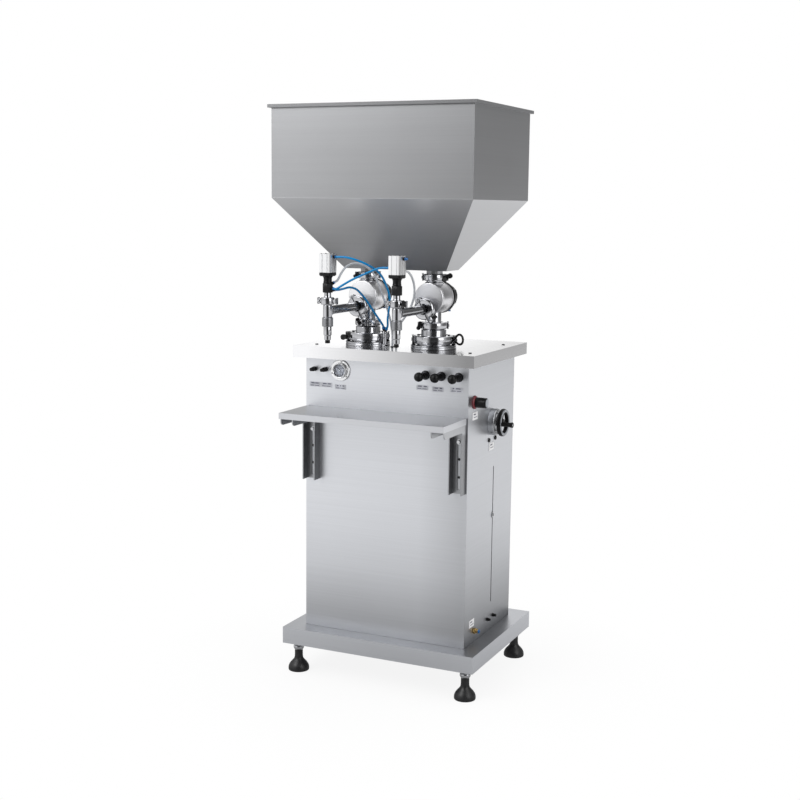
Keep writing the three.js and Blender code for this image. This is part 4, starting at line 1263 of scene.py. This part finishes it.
def make_valve_drive(side, place):
    bm = bmesh.new()
    drive_at = place @ aimed((0, 0, VALVE_AXIS), BACK)
    solid(bm, [(45, 40.3), (46, 41.2), (46, 48.4), (45, 49.3), (36, 49.6), (34.4, 51),
               (34, 53), (34, 90), (33, 92), (30, 93.2), (12, 93.6), (12, 96), (10, 96.6)],
          drive_at, 80, 0.8)
    for i in range(6):
        turn = spun(drive_at, 30 + 60 * i)
        bolt = turn @ at(40.6, 0, 0)
        solid(bm, [(2.6, 36.8), (2.6, 49.8)], bolt, 20, 0.4, material=1)
        hexagon(bm, 8, 35.4, 40.2, bolt, 0.6, material=1)
        hexagon(bm, 8, 49.4, 54, bolt, 0.6, material=1)
        block(bm, (33, 35.6), (-3, 3), (54, 88), 0.8, turn)
    for port_x in (-16, 16):
        port = place @ at(port_x, 40.3 + 32, VALVE_AXIS)
        down = port @ aimed((0, 0, 0), DOWN)
        solid(bm, [(5.6, 28), (5.6, 36), (4.6, 37), (4.6, 39)], down, 28, 0.4, material=1)
        hollow(bm, [(2.6, 39), (4.4, 39), (4.4, 41), (5, 41.4), (5, 42.2), (2.6, 42.6)], down, 28,
               0.3, material=2)
    make_piece("valve_drive_" + side, bm, [BLACK, HIDDEN_STEEL, BLUE],
               replaces=["valve_actuator_" + side])


def make_nozzle(side, place):
    bm = bmesh.new()
    hollow(bm, [(7.4, 1011), (8.4, 1011), (9, 1012), (9, 1023), (11, 1025), (11, 1049),
                (7.4, 1049)], place, 48, 0.5)
    nut = [(12.6, 1047.8), (14.4, 1048.2), (15, 1049.6), (15, 1071.4), (14.4, 1072.8), (12, 1073)]
    solid(bm, nut, place, 84, 0.4, knurl(28, 0.6, 1050.4, 1070.6), material=1)
    hollow(bm, [(8, 1072.8), (11.4, 1073), (12.5, 1075), (12.5, 1104), (12, 1106), (10.4, 1109),
                (10.4, 1112), (8, 1112)], place, 48, 0.5)
    feed = place @ aimed((0, 0, OUTLET_Z), BACK)
    hollow(bm, [(PIPE_BORE, 8), (12.6, 8), (12.6, 10), (14.4, 10.6), (14.4, 15.6), (13, 17),
                (PIPE_BORE, 17)], feed, 48, 0.5)
    hollow(bm, [(8, 1124), (10, 1126), (10, 1129), (9.4, 1131), (9.4, 1142), (8, 1142)], place, 48,
           0.5)
    make_piece("nozzle_tube_" + side, bm, [POLISHED, KNURLED_STEEL],
               replaces=["nozzle_body_" + side])
    band = bmesh.new()
    make_nozzle_band(band, place, side)
    make_piece("nozzle_band_" + side, band, [POLISHED, HIDDEN_STEEL, BLACK])
    collar = bmesh.new()
    hexagon(collar, 27, 1141, 1166, place, 2.0)
    hollow(collar, [(4.2, 1165.6), (12, 1165.6), (12, 1170), (11.4, 1171), (11.4, 1180),
                    (12.4, 1181.4), (12.4, 1183), (4.2, 1183)], place, 48, 0.5)
    make_piece("nozzle_collar_" + side, collar, BLACK)
    tip = bmesh.new()
    solid(tip, [(6.2, 1002), (6.9, 1002.8), (6.9, 1008), (6.4, 1010), (6.4, 1021), (3.7, 1025),
                (3.7, 1205)], place, 36, 0.4)
    make_piece("nozzle_tip_" + side, tip, BLACK, "nozzle_plunger_" + side,
               ["nozzle_plunger_" + side])


def make_nozzle_band(bm, place, side):
    section = rounded([
        (10.8, 1110), (12.5, 1108), (17, 1108), (18.6, 1110), (18.9, 1118), (18.6, 1126),
        (17, 1128), (12.5, 1128), (10.8, 1126), (10.8, 1110),
    ], 0.5)[:-1]
    bolt_at = (24.8, 0, 1118)
    arc_ring(bm, section, place, radians(10), radians(170), 24)
    arc_ring(bm, section, place, radians(190), radians(350), 24)
    for half_turn in (pi, 0):
        turn = place @ spin(half_turn)
        for edge in (-1, 1):
            across = strip(edge, 1.4, 5.2)
            block(bm, (16, 29.6), across, (1111.4, 1115.6), 0.6, turn)
            block(bm, (16, 29.6), across, (1120.4, 1124.8), 0.6, turn)
            block(bm, (16, 22), across, (1111.4, 1124.8), 0.6, turn)
            block(bm, (26.6, 30), across, (1109.2, 1127.2), 0.7, turn)
        pin = turn @ aimed(bolt_at, BACK)
        solid(bm, [(2.2, -7), (2.2, 7)], pin, 18, 0.4, material=1)
        solid(bm, [(4.0, -8.6), (4.0, -6)], pin, 20, 0.5, material=1)
    if side == "right":
        bolt = place @ aimed(bolt_at, FRONT)
        wing_nut(bm, bolt @ at(0, 0, 6) @ spin(1.4), 26, material=2)


def make_nozzle_drive(side, place):
    bm = bmesh.new()
    half, groove, deep = 18.0, 1.7, 1.8
    edge = [(half, -half + 2)]
    for spot in (-7.6, 7.6):
        edge += [(half, spot - groove), (half - deep, spot - groove * 0.7),
                 (half - deep, spot + groove * 0.7), (half, spot + groove)]
    edge += [(half, half - 2), (half - 0.6, half - 0.6)]
    turns = [Matrix.Rotation(pi / 2 * quarter, 2) for quarter in range(4)]
    outline = [turn @ Vector(point) for turn in turns for point in edge]
    prism(bm, outline, 1195.2, 1246, place, 0.5)
    prism(bm, rectangle(37, 37, 5, 5), 1187.5, 1195.0, place, 0.9, material=1)
    hollow(bm, [(4.4, 1183.4), (13, 1183.4), (17, 1187), (17, 1188), (4.4, 1188)], place, 40, 0.4,
           material=1)
    for sx in (-1, 1):
        for sy in (-1, 1):
            cap_screw(bm, place @ at(sx * 13, sy * 13, 1245.6), 2.4, 1.4, material=2)
            below = place @ aimed((sx * 13.4, sy * 13.4, 1187.8), DOWN)
            cap_screw(bm, below, 2.6, 2.2, material=2)
    make_piece("nozzle_drive_" + side, bm, [ALUMINIUM, BLACK, DARK_STEEL_AND_HOLE_SHADE],
               replaces=["nozzle_actuator_" + side])


def make_fitting(name, port, tube=True):
    """A push-in fitting: a threaded neck, a body, and the collar that holds the tube."""
    place, inner = aimed(port["from"], port["way"]), port["inner"]
    bm = bmesh.new()
    solid(bm, [(3.6, inner - 4), (3.6, inner)], place, 24, 0.3, material=1)
    solid(bm, [(4.3, inner - 0.8), (4.6, inner), (4.6, inner + 3.6), (4.2, inner + 4.2)], place,
          28, 0.3)
    hollow(bm, [(1.6, inner + 4), (3.6, inner + 4), (3.6, inner + 5.2), (4.4, inner + 5.6),
                (4.4, inner + 6.6), (3.9, inner + 7), (1.6, inner + 7)], place, 28, 0.2,
           material=2)
    if not tube:
        solid(bm, [(2.9, inner + 3), (2.9, inner + 12), (2.4, inner + 12.5)], place, 24, 0.3,
              material=2)
    make_piece("fitting_" + name, bm, [BLACK, POLISHED, BLUE])


for side, x in HEADS.items():
    for make in (make_cylinder, make_cylinder_head, make_clamps, make_valve, make_outlet_clamp,
                 make_outlet_pipe, make_valve_drive):
        make(side, at(x, HEAD_Y, 0))
    for make in (make_nozzle, make_nozzle_drive):
        make(side, at(x, NOZZLE_Y, 0))

for name, port in FITTINGS.items():
    make_fitting(name, port, name != "right_top")


def make_tube_grommets():
    bm = bmesh.new()
    for x in (-12, 0):
        spot = at(x, TUBE_DROP_Y, PLATE_TOP)
        hollow(bm, [(3.3, 0.05), (5.6, 0.05), (5.6, 1.2), (4.6, 2.4), (3.3, 2.4)], spot, 28, 0.4)
    make_piece("tube_grommets", bm, BLACK)


make_tube_grommets()


def make_union():
    """The stem on the top plate where two air tubes join, sleeved over its CAD solid."""
    x, y, z = UNION_AT
    place = at(x, y, 0)
    bm = bmesh.new()
    washer(bm, place @ at(0, 0, PLATE_TOP), 5.2, 9.4, 1.2, material=1)
    hexagon(bm, 15, PLATE_TOP + 1.2, PLATE_TOP + 7, place, 0.8, material=1)
    solid(bm, [(5.4, PLATE_TOP + 6), (5.4, z - 7), (6.6, z - 5.6), (6.6, z + 4.6), (5.4, z + 6)],
          place, 36, 0.5, material=1)
    for port in UNION_PORTS.values():
        turn, inner = aimed(port["from"], port["way"]), port["inner"]
        solid(bm, [(5.2, inner - 6), (5.2, inner + 4.2), (4.9, inner + 4.6)], turn, 32, 0.3)
        hollow(bm, [(1.6, inner + 4), (4.7, inner + 4), (4.7, inner + 5), (5.0, inner + 5.4),
                    (5.0, inner + 6.7), (4.6, inner + 7.12), (1.6, inner + 7.12)], turn, 32,
               0.2, material=2)
    make_piece("tube_union", bm, [BLACK, POLISHED, BLUE])


make_union()

# ---- plate and rear screws


def make_sheet_screws():
    bm = bmesh.new()
    for x, y in ((-234, -155), (243, -149), (244, 111), (-234, 111)):
        cap_screw(bm, at(x, y, PLATE_TOP), 4.6, 1.8)
    make_piece("plate_screws", bm, DARK_STEEL_AND_HOLE_SHADE)
    rear = bmesh.new()
    for x in (-236, 0, 236):
        for z in (170, 540, 910):
            cap_screw(rear, aimed((x, -FRONT_FACE, z), BACK), 4.2, 2.2)
    make_piece("rear_screws", rear, HIDDEN_STEEL)


make_sheet_screws()

# ---- floor, lights and world


def toward(n, x, y, way):
    """How far a level direction turns towards another, from 0 to 1."""
    share = n.math("DIVIDE", n.along(x, y, way), n.math("MAXIMUM", n.reach(x, y), 0.001))
    return n.between(share, 0.5, 1.0)


def studio_dark(n, x, y):
    """Dim bands in front and at the left back, which draw the dark lines on turned metal."""
    front = n.ramp(toward(n, x, y, (0.41, -0.91)), [(0.87, 1.06), (0.97, 0.06)])
    back = n.ramp(toward(n, x, y, (-0.82, 0.57)), [(0.93, 1.0), (0.98, 0.25)])
    return n.times(front, back)


FLOOR_RADIUS = 14.0


def make_floor():
    bm = bmesh.new()
    bmesh.ops.create_circle(bm, cap_ends=True, segments=96, radius=FLOOR_RADIUS)
    data = bpy.data.meshes.new("floor")
    bm.to_mesh(data)
    bm.free()
    floor = in_scene("floor", data)
    material = bpy.data.materials.new("floor_white")
    material.use_nodes = True
    n = Nodes(material.node_tree)
    place = n.place()
    away = n.add("ShaderNodeVectorMath", {0: place}, operation="LENGTH").outputs[1]
    far = n.math("DIVIDE", away, FLOOR_RADIUS)
    # For rays other than the camera's the floor glows, with a painted shadow near the machine and
    # the studio's dim bands painted on farther out.
    glow = n.ramp(far, [(0.015, 0.34), (0.06, 0.6), (0.15, 0.95), (0.6, 1.0)])
    x, y = n.split(place)[:2]
    dark = n.blend(n.ramp(far, [(0.1, 0.0), (0.2, 1.0)]), 1.0, studio_dark(n, x, y))
    glow = n.times(glow, dark)
    seen = n.add("ShaderNodeLightPath").outputs["Is Camera Ray"]
    soft = n.add("ShaderNodeBsdfDiffuse", {0: (0.9, 0.9, 0.9, 1)}).outputs[0]
    white = n.add("ShaderNodeEmission", {0: (1, 1, 1, 1), 1: 1.0}).outputs[0]
    near = n.ramp(far, [(0.02, 0.12), (0.06, 0.0)])
    shown = n.add("ShaderNodeMixShader", {0: near, 1: white, 2: soft}).outputs[0]
    bounced = n.add("ShaderNodeEmission", {0: glow, 1: 1.0}).outputs[0]
    mixed = n.add("ShaderNodeMixShader", {0: seen, 1: bounced, 2: shown}).outputs[0]
    n.add("ShaderNodeOutputMaterial", {0: mixed})
    data.materials.append(material)


def make_world():
    world = bpy.data.worlds.new("studio")
    bpy.context.scene.world = world
    world.use_nodes = True
    n = Nodes(world.node_tree)
    way = n.add("ShaderNodeTexCoord").outputs["Generated"]
    x, y, z = n.split(way)
    level = n.ramp(
        n.between(z, 0.5, 1.0),
        [(0.44, 0.9), (0.5, 0.86), (0.54, 0.74), (0.66, 0.66), (0.8, 1.05), (1.0, 1.4)],
    )
    # The side away from the camera is darker to the right and brighter to the left.
    right_back, left_back = n.along(x, y, (0.6, 0.8)), n.along(x, y, (-0.5, 0.86))
    dark = n.ramp(n.between(right_back, 0.5, 1.0), [(0.75, 1.0), (0.9, 0.32), (1.0, 0.25)])
    light = n.ramp(n.between(left_back, 0.5, 1.0), [(0.8, 0.0), (1.0, 0.6)])
    shaded = n.plus(n.times(level, dark), light)
    glow = n.times(shaded, studio_dark(n, x, y))
    seen = n.add("ShaderNodeLightPath").outputs["Is Camera Ray"]
    shown = n.blend(seen, glow, 1.0)
    back = n.add("ShaderNodeBackground", {0: (1, 1, 1, 1), 1: shown}).outputs[0]
    n.add("ShaderNodeOutputWorld", {0: back})


def make_light(name, place, target, size, watts):
    data = bpy.data.lights.new(name, "AREA")
    data.shape = "RECTANGLE"
    data.size, data.size_y = size
    data.energy = watts
    place, target = Vector(place), Vector(target)
    turn = (target - place).to_track_quat("-Z", "Y").to_matrix().to_4x4()
    in_scene(name, data).matrix_world = Matrix.Translation(place) @ turn


make_floor()
make_world()
make_light("key", (-1.8, -3.0, 3.4), (0, 0, 1.0), (2.2, 2.2), 70)
make_light("fill", (3.2, -1.4, 2.2), (0, 0, 0.9), (1.8, 2.4), 30)
bpy.context.scene.view_settings.view_transform = "Standard"
